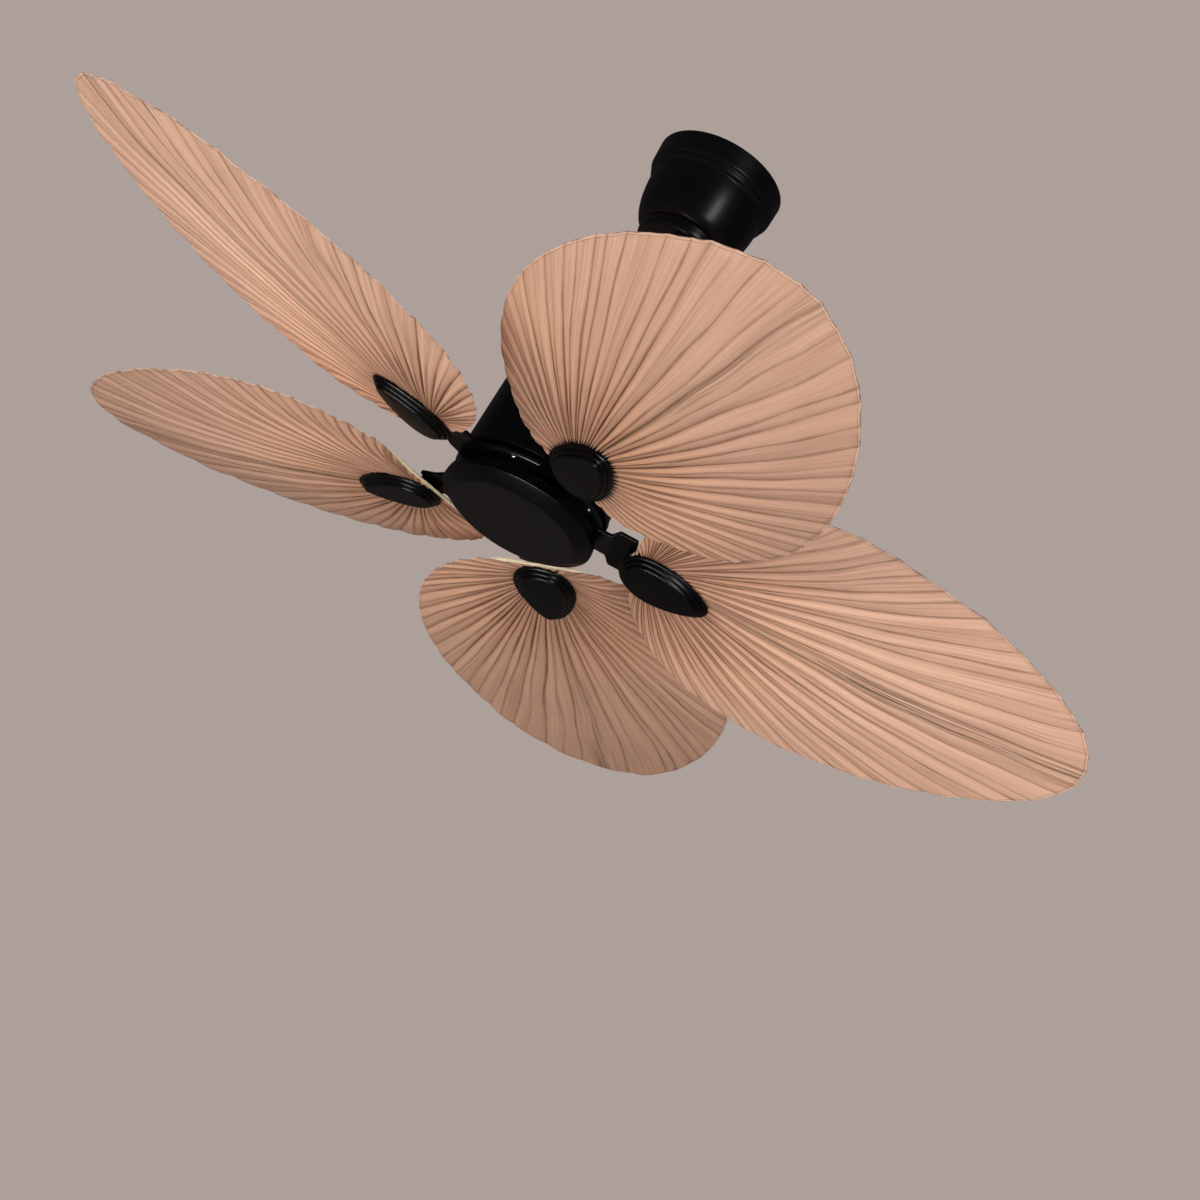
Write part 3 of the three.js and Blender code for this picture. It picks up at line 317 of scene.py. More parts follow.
leafLook = {
    "light": (0.87, 0.537, 0.378), "dark": (0.42, 0.212, 0.130), "deep": (0.38, 0.215, 0.140),
    "warm": (0.68, 0.33, 0.150), "line": (0.15, 0.064, 0.034), "valleyShade": (0.30, 0.145, 0.088),
    "midrib": (0.160, 0.095, 0.049), "hem": (0.78, 0.56, 0.43), "singed": (0.13, 0.055, 0.03),
    "toothShadow": (0.008, 0.006, 0.006),
    "roughness": 0.66, "gloss": 0.3, "across": 9.0, "along": 5.0, "bump": (0.5, 0.0005),
    "lineWidths": (0.00066, 0.00228), "lineCore": 0.3, "toothWidth": 0.0014, "hemWidth": 0.0030,
    # Ranges of a measure, and of the mask that it gives.
    "fibreShades": (0.3, 0.7), "streakShades": (0.35, 0.65, 0.0, 0.6), "warmReach": (0.06, 0.24, 0.38, 0.0),
    "valleyGap": (0.0, 0.0040, 1.0, 0.0), "valleyReach": (0.07, 0.34, 0.92, 0.50),
    "lineBreaks": (0.30, 0.62, 0.35, 1.0), "strokes": (0.42, 0.66), "bandTurn": (0.006, 0.045, 1.0, 0.0),
    "bandFibres": (0.43, 0.54, 1.0, 0.15), "bandReach": (0.22, 0.44, 0.95, 0.55),
    "toothReach": (0.0, 0.0060, 1.0, 0.0), "toothEdge": (0.0, 0.0003), "hemGap": (0.0024, 0.0030, 0.28, 0.0),
    "seamGap": (0.0002, 0.0007, 0.6, 0.0), "singeGap": (0.0, 0.0014, 0.9, 0.0), "singeStreaks": (0.46, 0.64),
}
leafMeasures = ("lineGap", "weight", "reach", "gap", "turn", "tone", "stain", "hubGap")


def fibrousMaterial(name, uvMap, look):
    material, tree, shader = newMaterial(name, Roughness=look["roughness"], Specular_IOR_Level=look["gloss"])
    uv = put(tree, "ShaderNodeUVMap", uv_map=uvMap).outputs["UV"]
    grain = grouped(tree, fibreGrain, {"Coordinates": uv, "Across": look["across"], "Along": look["along"]})
    colour = mixed(tree, ramp(tree, grain["Fibres"], *look["fibreShades"]), look["dark"], look["light"])
    colour = mixed(tree, ramp(tree, grain["Streaks"], *look["streakShades"]), colour, look["light"])
    tree.links.new(colour, shader.inputs["Base Color"])
    bumped(tree, shader, grain["Fibres"], *look["bump"])
    return material, tree, shader, grain, colour


def palmLeafMaterial(look):
    material, tree, shader, grain, colour = fibrousMaterial("palmLeaf", "pleatMap", look)
    lineGap, weight, reach, gap, turn, tone, stain, hubGap = (
        put(tree, "ShaderNodeAttribute", attribute_name=title).outputs["Fac"] for title in leafMeasures)

    def ranged(measure, title):
        return ramp(tree, measure, *look[title])

    # Painted shade darkens the hollow along each fold line, more towards the hub.
    valleyShade = times(tree, ranged(lineGap, "valleyGap"), weight, ranged(reach, "valleyReach"))
    # The line itself is broken and swells into short darker strokes.
    width = ramp(tree, grain["Strokes"], *look["strokes"], *look["lineWidths"])
    line = ramp(tree, lineGap, times(tree, width, look["lineCore"]), width, 1.0, 0.0)
    line = times(tree, line, weight, ranged(grain["Streaks"], "lineBreaks"))
    # The stalk's end runs on through the middle of the leaf as a darker band.
    band = times(tree, ranged(calc(tree, "ABSOLUTE", turn), "bandTurn"), ranged(grain["Fibres"], "bandFibres"),
                 ranged(reach, "bandReach"), stain)
    # Where the folds go under the medallion, a painted shadow fills each gap between them, tapering away from
    # the rim.
    taper = times(tree, calc(tree, "SQRT", ranged(hubGap, "toothReach")), look["toothWidth"])
    toothShadow = ranged(calc(tree, "SUBTRACT", taper, lineGap), "toothEdge")
    # A narrow hem with a thin line beside it runs round the edge, singed brown in places.
    seam = ranged(calc(tree, "ABSOLUTE", calc(tree, "SUBTRACT", gap, look["hemWidth"])), "seamGap")
    singe = times(tree, ranged(gap, "singeGap"), ranged(grain["Streaks"], "singeStreaks"))
    # From the ground colour up: per-leaf tint, partly painted shade; warmth near the hub; painted shade along
    # the folds; the fold lines; the midrib band; painted shadow where the folds go under the medallion; hem,
    # seam and singeing.
    layers = ((tone, "deep"), (ranged(reach, "warmReach"), "warm"), (valleyShade, "valleyShade"), (line, "line"),
              (band, "midrib"), (toothShadow, "toothShadow"), (ranged(gap, "hemGap"), "hem"), (seam, "line"),
              (singe, "singed"))
    for mask, title in layers:
        colour = mixed(tree, mask, colour, look[title])
    tree.links.new(colour, shader.inputs["Base Color"])
    return material


caneLook = {"light": (0.82, 0.71, 0.48), "dark": (0.56, 0.43, 0.25), "roughness": 0.5, "gloss": 0.4,
            "across": 900.0, "along": 30.0, "bump": (0.3, 0.0004),
            "fibreShades": (0.35, 0.65), "streakShades": (0.55, 0.7, 0.0, 0.8)}
finish["palmLeaf"] = palmLeafMaterial(leafLook)
finish["splitCane"] = fibrousMaterial("splitCane", "caneMap", caneLook)[0]
print("finishes made:", len(finish))


shading = {"sharpAngle": 40, "keptAngle": 32, "weight": 60}
easing = {"smallestBend": 24, "edgeShare": 0.42, "steps": 4}
tiny = 1e-6


def addPiece(name, points, faces, material, body, replaced=(), sharpAngle=shading["sharpAngle"]):
    mesh = bpy.data.meshes.new(name)
    mesh.from_pydata(points, [], faces)
    mesh.update()
    mesh.shade_smooth()
    mesh.set_sharp_from_angle(angle=math.radians(sharpAngle))
    mesh.materials.append(finish[material])
    piece = newObject(name, mesh)
    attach(piece, body)
    if replaced:
        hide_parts(*replaced)
    return piece


def addUvs(piece, name, uvs):
    layer = piece.data.uv_layers.new(name=name)
    layer.data.foreach_set("uv", [value for face in uvs for pair in face for value in pair])


def evenShading(piece):
    modifier = piece.modifiers.new("evenShading", "WEIGHTED_NORMAL")
    modifier.keep_sharp = True
    modifier.weight = shading["weight"]


def quarterArc(start, end, steps, startsFlat):
    points = []
    for angle in spaced(0, math.pi / 2, steps):
        shares = math.sin(angle), 1 - math.cos(angle)
        alongR, alongZ = shares if startsFlat else shares[::-1]
        points.append((between(start[0], end[0], alongR), between(start[1], end[1], alongZ)))
    return points


def bendPoints(first, corner, last, steps):
    # A soft turn from one point to another, drawn towards the corner between them.
    return [tuple(first * (1 - t) ** 2 + corner * 2 * t * (1 - t) + last * t * t) for t in spaced(0, 1, steps)]


def eased(section, radius):
    # Rounds every real corner of a closed section; the points that lie on a curve stay.
    rounded = []
    count = len(section)
    for i, point in enumerate(section):
        here = Vector(point)
        before, after = Vector(section[i - 1]) - here, Vector(section[(i + 1) % count]) - here
        opening = math.pi if min(before.length, after.length) < tiny / 10 else before.angle(after)
        if here.x < tiny or math.pi - opening < math.radians(easing["smallestBend"]):
            rounded.append(tuple(here))
            continue
        reach = min(radius, easing["edgeShare"] * before.length, easing["edgeShare"] * after.length)
        first, last = here + before.normalized() * reach, here + after.normalized() * reach
        rounded += bendPoints(first, here, last, easing["steps"])
    return rounded


def bandFaces(base, bands, count):
    # Quads between rings of points, each ring stored after the one before.
    faces = []
    for band in range(bands):
        for k in range(count):
            a, b = base + band * count + k, base + band * count + (k + 1) % count
            faces.append([a, b, b + count, a + count])
    return faces


def spunMesh(section, segments):
    # Spins a closed section of (radius, height) about Z; points on the axis stay single.
    points, rows = [], []
    for r, z in section:
        if r < tiny:
            rows.append([len(points)] * segments)
            points.append((0, 0, z))
            continue
        rows.append(list(range(len(points), len(points) + segments)))
        points += [circlePoint(r, fullTurn * s / segments, z) for s in range(segments)]
    area = sum(a[0] * b[1] - b[0] * a[1] for a, b in zip([section[-1], *section], section))
    faces = []
    for i in range(len(rows)):
        low, high = rows[i - 1], rows[i]
        if low[0] == low[1] and high[0] == high[1]:
            continue
        for s in range(segments):
            t = (s + 1) % segments
            face = [low[s], low[t], high[t], high[s]]
            face = [v for k, v in enumerate(face) if v != face[k - 1]]
            faces.append(face if area > 0 else face[::-1])
    return points, faces


def turnedPiece(name, section, material, body, node, ease=0.0006, segments=128):
    points, faces = spunMesh(eased(section, ease), segments)
    piece = addPiece(name, points, faces, material, body, [node])
    evenShading(piece)
    return piece


# The ceiling side: canopy and its trim ring.
canopy = {
    "radius": 0.0770, "bandHeight": 0.0265, "bandTaper": 0.0010, "bandChamfer": (0.0012, 0.0016),
    "beadRadius": 0.0732, "beadHeight": 0.0065, "beadInset": (0.0004, 0.0008), "bowlGap": 0.0030,
    "bowlRadius": 0.0688, "neckRadius": 0.0485, "height": 0.0998, "footWidth": 0.0130, "wall": 0.0015,
    "innerShoulder": (0.003, 0.006), "ease": 0.0011, "arcSteps": (22, 12),
}


def makeCanopy(v):
    wall, low, bandLow = v["wall"], -v["height"], -v["bandHeight"]
    bandRadius, beadLow = v["radius"] - v["bandTaper"], bandLow - v["beadHeight"]
    bowlStart = beadLow - v["bowlGap"]
    (chamferIn, chamferUp), (beadIn, beadDown) = v["bandChamfer"], v["beadInset"]
    foot, innerBowl = v["neckRadius"] - v["footWidth"], v["bowlRadius"] - wall
    outer = [(v["radius"], 0.0), (bandRadius, bandLow + chamferUp), (bandRadius - chamferIn, bandLow),
             (v["beadRadius"], bandLow - beadDown), (v["beadRadius"] - beadIn, beadLow),
             *quarterArc((v["bowlRadius"], bowlStart), (v["neckRadius"], low), v["arcSteps"][0], False)]
    inner = [(foot, low), (foot, low + wall),
             *quarterArc((v["neckRadius"] - wall, low + wall), (innerBowl, bowlStart), v["arcSteps"][1], True),
             (innerBowl, bandLow + v["innerShoulder"][0]), (bandRadius - wall, bandLow + v["innerShoulder"][1]),
             (v["radius"] - wall, 0.0)]
    turnedPiece("canopyShell", outer + inner, "satinBlack", "ceiling", "canopy", v["ease"])


trimRing = {"radius": 0.0510, "rim": (0.0010, 0.0015), "waist": 0.0006, "curveRise": 0.0070, "fit": 0.0003,
            "holeRadius": 0.0290, "footInset": 0.0065, "wall": 0.0015, "arcSteps": 10}


def makeTrimRing(v):
    low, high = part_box("canopy_trim_ring")
    top, bottom, wall = high.z, low.z, v["wall"]
    foot, inner, bend = v["radius"] - v["footInset"], canopy["neckRadius"] - v["fit"], bottom + v["curveRise"]
    section = [(inner, top), (v["radius"] - v["rim"][0], top), (v["radius"], top - v["rim"][1]),
               *quarterArc((v["radius"] - v["waist"], bend), (foot, bottom), v["arcSteps"], False),
               (v["holeRadius"], bottom), (v["holeRadius"], bottom + wall), (foot - wall, bottom + wall),
               (inner, bend)]
    turnedPiece("canopyTrim", section, "satinBlack", "ceiling", "canopy_trim_ring")


# The hanging side: rod, its cover, the motor housing and the cap.
rod = {"radius": 0.01335, "wall": 0.0020, "segments": 64}


def makeRod(v):
    low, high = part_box("downrod")
    r = v["radius"]
    section = [(r - v["wall"], low.z), (r, low.z), (r, high.z), (r - v["wall"], high.z)]
    turnedPiece("rodTube", section, "satinBlack", "hanger", "downrod", segments=v["segments"])


couplingCover = {"footRadius": 0.0410, "footHeight": 0.0030, "bellHeight": 0.0040, "neckRadius": 0.0185,
                 "neckHeight": 0.0070, "bellDrop": 0.0080, "bellInset": 0.0030, "holeRadius": 0.01455,
                 "wall": 0.0015, "arcSteps": (16, 10)}


def makeCouplingCover(v):
    low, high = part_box("coupling_cover")
    foot, top, wall = low.z, high.z, v["wall"]
    wide, slim = v["footRadius"] - v["bellInset"], v["neckRadius"] + v["bellInset"]
    bellLow, bellHigh, neckLow = foot + v["bellHeight"], top - v["bellDrop"], top - v["neckHeight"]
    outer = [(v["footRadius"], foot), (v["footRadius"], foot + v["footHeight"]),
             *quarterArc((wide, bellLow), (slim, bellHigh), v["arcSteps"][0], False),
             (v["neckRadius"], neckLow), (v["neckRadius"], top)]
    inner = [(v["holeRadius"], top), (v["holeRadius"], neckLow - wall),
             *quarterArc((slim - wall, bellHigh - wall), (wide - wall, bellLow), v["arcSteps"][1], True),
             (wide - wall, foot)]
    turnedPiece("rodCover", outer + inner, "satinBlack", "hanger", "coupling_cover")


housing = {
    "topRadius": 0.0600, "shoulder": 0.0270, "upperRadius": 0.0870, "lowerRadius": 0.0890, "lipRadius": 0.0910,
    "lipHeight": 0.0060, "lipTurn": 0.0020, "innerTurn": 0.0010, "holeRadius": 0.0200, "wall": 0.0015,
    "ease": 0.0009, "arcSteps": (20, 12), "segments": 160,
}


def makeHousing(v):
    low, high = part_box("motor_housing")
    top, bottom, wall = high.z, low.z, v["wall"]
    shoulderLow, lipTop = top - v["shoulder"], bottom + v["lipHeight"]
    outer = [(v["holeRadius"], top),
             *quarterArc((v["topRadius"], top), (v["upperRadius"], shoulderLow), v["arcSteps"][0], True),
             (v["lowerRadius"], lipTop + v["lipTurn"]), (v["lipRadius"], lipTop), (v["lipRadius"], bottom)]
    inner = [(v["lipRadius"] - wall, bottom), (v["lipRadius"] - wall, lipTop - v["innerTurn"]),
             (v["lowerRadius"] - wall, lipTop + v["innerTurn"]),
             *quarterArc((v["upperRadius"] - wall, shoulderLow), (v["topRadius"], top - wall), v["arcSteps"][1],
                         False),
             (v["holeRadius"], top - wall)]
    section = outer + inner
    turnedPiece("housingShell", section, "satinBlack", "hanger", "motor_housing", v["ease"], v["segments"])


cap = {"topRadius": 0.0880, "topInset": 0.0008, "edgeRadius": 0.0906, "edgeTurn": (0.0010, 0.0008),
       "bandHeight": 0.0130, "fieldRadius": 0.0735, "bevelSwell": 0.0003, "bevelSteps": 8, "softTurn": 0.18,
       "softSteps": 6, "slopeMargin": 0.001, "wall": 0.0015, "ease": 0.0011,
       "arcSteps": 12, "segments": 160}


def makeCap(v):
    low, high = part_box("bottom_cap")
    top, bottom, wall = high.z, low.z, v["wall"]
    edge = top - v["bandHeight"]
    # A firm edge, an almost straight slope and a soft turn into the flat field.
    rim, field = Vector((v["edgeRadius"], edge)) - Vector(v["edgeTurn"]), Vector((v["fieldRadius"], bottom))
    bevel = []
    for t in spaced(0, 1, v["bevelSteps"]):
        point = rim.lerp(field, t * (1 - v["softTurn"]))
        bevel.append((point.x, point.y - v["bevelSwell"] * math.sin(math.pi * t)))
    end = field - Vector((v["softTurn"] * (rim - field).length, 0))
    bevel += bendPoints(Vector(bevel[-1]), field, end, v["softSteps"])[1:]
    band = quarterArc((v["topRadius"] - v["topInset"], top), (v["edgeRadius"], edge), v["arcSteps"], True)
    section = [(0.0, bottom), *bevel[::-1], *band[::-1], (v["topRadius"] - wall, top),
               (v["edgeRadius"] - 2 * wall, edge), (v["fieldRadius"], bottom + wall), (0.0, bottom + wall)]
    shell = turnedPiece("capShell", section, "capBlack", "hanger", "bottom_cap", v["ease"], v["segments"])
    # Everything outside the flat field, band and slope alike, gets a darker copy of the cap's black: painted
    # shade.
    shell.data.materials.append(finish["slopeShadeBlack"])
    slopeStart = v["fieldRadius"] - v["slopeMargin"]
    for face in shell.data.polygons:
        face.material_index = int(math.hypot(face.center.x, face.center.y) > slopeStart)


makeCanopy(canopy)
makeTrimRing(trimRing)
makeRod(rod)
makeCouplingCover(couplingCover)
makeHousing(housing)
makeCap(cap)
print("turned shells made")

# The spinning side: five blades on a flywheel.
blade = {"count": 5, "pitch": -11.3, "droop": 1.4, "start": 0.1217, "rimDrop": 0.0152}
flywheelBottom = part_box("flywheel")[0].z
rimHeight = flywheelBottom - blade["rimDrop"]
leafMiddle, ironUnderside = 0.0025, 0.0050  # above the medallion's rim


def spokeMatrix(i):
    return Matrix.Rotation(fullTurn * i / blade["count"], 4, "Z")


def bladeMatrix(i):
    droop = Matrix.Rotation(math.radians(blade["droop"]), 4, "Y")
    pitch = Matrix.Rotation(math.radians(blade["pitch"]), 4, "X")
    return spokeMatrix(i) @ Matrix.Translation((blade["start"], 0, rimHeight)) @ droop @ pitch


def bladePiece(title, i, place, points, faces, material, node=None, sharpAngle=shading["sharpAngle"]):
    replaced = [f"{node}_{i + 1}"] if node else ()
    points = [place @ Vector(p) for p in points]
    return addPiece(f"{title}{i + 1}", points, faces, material, "rotor", replaced, sharpAngle)


leafForm = {
    "sweepRadius": 0.660, "focusX": 0.172, "halfWidth": 0.1865, "eggShape": -0.244, "thickness": 0.0009,
    "pleats": 36, "rows": 34, "rowSpread": 1.2, "between": (0.0, 0.07, 0.2, 0.4, 0.6, 0.8, 0.93),
    "outlineSteps": 900, "clampReach": 0.040, "openReach": 0.120, "innermost": 0.7, "cup": 0.013,
    "atHub": {"lineGap": 0.01, "weight": 0, "gap": 0.2, "turn": 1.0}, "firstSeed": 11, "seedStep": 7,
    "riseAtClamp": 0.0013, "rise": 0.0024, "riseAtEdge": 0.0011, "crease": 0.85, "edgeFlattens": (0.5, 1.0),
    "secondFold": 0.0018, "secondWidth": 0.20, "secondFades": (0.6, 1.0), "secondAtEdge": 0.6,
    "sway": 0.15, "meander": 0.30, "meanderStarts": (0.07, 0.25), "meanderScale": (0.9, 9.0),
    "ripple": 0.0016, "rippleStarts": (0.06, 0.25), "rippleScale": 14.0,
    "flutterStarts": (0.8, 1.0), "flutterScale": 0.35, "mainDepth": (0.75, 1.15),
    "mainWeight": (0.7, 1.0), "betweenWeight": (0.3, 0.95),
    "weightSettles": (0.08, 0.20), "weightFades": (0.25, 0.95), "weightAtEdge": 0.7,
}
# What differs from leaf to leaf, each line from leaf 1 to leaf 5.
leafTraits = {
    "rootX": (0.137, 0.124, 0.124, 0.137, 0.137),
    "eggStart": (0.1335, 0.1130, 0.0960, 0.1315, 0.1295),
    "spread": (1.037, 0.977, 1.035, 1.043, 0.994),
    "tipRise": (0.0102, 0.0273, 0.0338, 0.0227, 0.0372),
    "extraCup": (-0.0037, -0.0052, 0.0012, -0.0068, 0.0146),
    "twist": (-0.0051, -0.0092, 0.0022, -0.0029, -0.0074),
    "sag": (-0.41, -0.40, -0.08, 0.60, -0.42),
    "yaw": (-8.2, -2.8, -0.2, 0.4, -1.0),
    # How far each leaf is darkened towards the deep colour: partly its own tint, partly painted shade for how
    # the light falls on it.
    "tone": (0.10, 0.40, 0.15, 0.0, 0.55),
    # How strongly each leaf shows the painted shadow where its folds go under the medallion.
    "gapShadow": (0.1, 0.1, 0.1, 0.1, 1.0),
    "hub": ((-0.022, -0.010), (-0.034, -0.007), (-0.036, 0.010), (-0.020, 0.006), (-0.011, -0.005)),
    "bow": ((0.09, 0.04, 0.035, 0.032, 0.065, 0.042, 0.046), (0.16, 0.12, -0.032, -0.025, 0.0, 0.0, 0.045),
            (0.09, -0.016, 0.03, -0.003, -0.119, -0.169, -0.20),
            (0.10, 0.09, -0.01, -0.13, -0.097, -0.023, -0.008),
            (0.077, -0.01, 0.019, 0.005, 0.0, -0.028, 0.034)),
    "midrib": (0.03, 0.06, -0.045, 0.0, 0.0),
    "stain": (1.5, 0.8, 1.1, 1.15, 0.8),
    "splint": (1.0, 1.0, 1.0, 0.45, 0.45),
}
leaves = [dict(zip(leafTraits, row)) for row in zip(*leafTraits.values())]
bowAngles = [math.radians(a) for a in (-180, -90, -50, -20, 0, 20, 50, 90, 180)]


def foldPoint(leaf, edgeX, edgeY, share):
    # A fold line leaves the hub and bows on its way to the edge.
    angle = math.atan2(edgeY, edgeX)
    bows = (0, *leaf["bow"], 0)
    k = min(max(bisect.bisect_right(bowAngles, angle), 1), len(bows) - 1)
    t = (angle - bowAngles[k - 1]) / (bowAngles[k] - bowAngles[k - 1])
    bow = between(bows[k - 1], bows[k], t) * math.sin(math.pi * share)
    (edgeX, edgeY), (hubX, hubY) = turned(edgeX, edgeY, bow), leaf["hub"]
    return between(hubX, edgeX, share), between(hubY, edgeY, share)


def eggHalfWidth(leaf, t):
    swell = math.exp(leafForm["eggShape"] * math.cos(t))
    return leaf["spread"] * leafForm["halfWidth"] * math.sin(t) * swell


def leafOutline(leaf):
    # The leaf's edge about the point where its pleats meet, with its straight root cut. The second list
    # measures the way round it, shorter where the edge is far off, so that folds are wider apart there.
    half = (leafForm["sweepRadius"] - leaf["eggStart"]) / 2
    middle, rootX = leaf["eggStart"] + half - leafForm["focusX"], leaf["rootX"] - leafForm["focusX"]
    loop = [(middle + half * math.cos(t), eggHalfWidth(leaf, t))
            for t in spaced(0, fullTurn, leafForm["outlineSteps"])]
    kept = []
    for (px, py), (qx, qy) in zip(loop, loop[1:]):
        if px >= rootX:
            kept.append((px, py))
        if (px >= rootX) != (qx >= rootX):
            t = (rootX - px) / (qx - px)
            kept.append((rootX, between(py, qy, t)))
    kept.append(kept[0])
    gone = [0.0]
    for (px, py), (qx, qy) in zip(kept, kept[1:]):
        reach = (math.hypot(px, py) + math.hypot(qx, qy)) / 2
        gone.append(gone[-1] + math.hypot(qx - px, qy - py) / math.sqrt(reach))
    return kept, gone


def alongOutline(outline, gone, share):
    goal = gone[-1] * (share % 1.0)
    k = min(max(bisect.bisect_right(gone, goal), 1), len(gone) - 1)
    t = (goal - gone[k - 1]) / max(gone[k] - gone[k - 1], 1e-9)
    return between(outline[k - 1][0], outline[k][0], t), between(outline[k - 1][1], outline[k][1], t)


def leafHeight(leaf, x, y):
    along = max(x, 0) / (leafForm["sweepRadius"] - leafForm["focusX"])
    across = y / leafForm["halfWidth"]
    sag = leaf["sag"]
    bent = leaf["tipRise"] * (sag * along + (1 - sag) * along ** 2)
    bent += (leafForm["cup"] + leaf["extraCup"]) * across ** 2 + leaf["twist"] * along * across
    return bent * smoothStep(leafForm["clampReach"], leafForm["openReach"], math.hypot(x, y))


def pleatRise(distance, share):
    clamp = leafForm["clampReach"]
    if distance <= clamp:
        return leafForm["riseAtClamp"] * distance / clamp
    opened = smoothStep(clamp, leafForm["openReach"], distance)
    full = between(leafForm["riseAtClamp"], leafForm["rise"], opened)
    flat = smoothStep(*leafForm["edgeFlattens"], share)
    return full + (leafForm["riseAtEdge"] - leafForm["rise"]) * flat * opened


medallion = {"length": 0.108, "halfWidth": 0.0355, "eggShape": 0.267, "step": 0.0044, "rise": 0.0033,
             "facets": 112, "edgeSteps": 48, "rim": ((0.0006, 0.0), (0.0, -0.0005)), "rimDepth": 0.45,
             "ridge": ((0.10, 0.62), (0.26, 0.90), (0.46, 1.02), (0.72, 0.98), (0.94, 0.93)), "ridges": 3,
             "fieldSink": ((0.9, 0.0003), (0.6, 0.0005), (0.25, 0.0006)),
             "bossRadius": 0.0050, "bossFoot": -0.0010, "bossInset": 0.0003,
             "bosses": ((0.146, 0.015), (0.146, -0.015), (0.200, 0.0))}


def medallionPoint(t):
    swell = math.exp(medallion["eggShape"] * math.cos(t))
    return medallion["length"] * (1 - math.cos(t)) / 2, medallion["halfWidth"] * math.sin(t) * swell


medallionEdge = [medallionPoint(t) for t in spaced(0, fullTurn, medallion["edgeSteps"])[:-1]]


def medallionGap(x, y):
    # How far a point of the leaf lies outside the medallion's outline; nothing if it is under it.
    edge = medallionEdge
    x += leafForm["focusX"] - blade["start"]
    if math.hypot(x - medallion["length"] / 2, y) > medallion["length"]:
        return medallion["length"] / 2
    along = min(max(x / medallion["length"], 0.0), 1.0)
    t = math.acos(1 - 2 * along)
    if 0 < along < 1 and abs(y) <= medallionPoint(t)[1]:
        return 0.0
    k = min(range(len(edge)), key=lambda n: (edge[n][0] - x) ** 2 + (edge[n][1] - y) ** 2)
    gaps = []
    for a, b in ((edge[k - 1], edge[k]), (edge[k], edge[(k + 1) % len(edge)])):
        alongX, alongY = b[0] - a[0], b[1] - a[1]
        share = ((x - a[0]) * alongX + (y - a[1]) * alongY) / (alongX ** 2 + alongY ** 2)
        share = min(max(share, 0.0), 1.0)
        gaps.append(math.hypot(x - a[0] - share * alongX, y - a[1] - share * alongY))
    return min(gaps)


def foldTraits(draw, folds):
    # Every other fold is a main one; the ones between are shallower and vary more.
    traits = []
    for fold in range(folds):
        main = fold % 2 == 0
        weights = leafForm["mainWeight"] if main else leafForm["betweenWeight"]
        sway = draw.uniform(-1, 1) * leafForm["sway"]
        full = draw.uniform(*leafForm["mainDepth"])
        traits.append({"sway": sway, "full": full, "weight": draw.uniform(*weights)})
    return traits


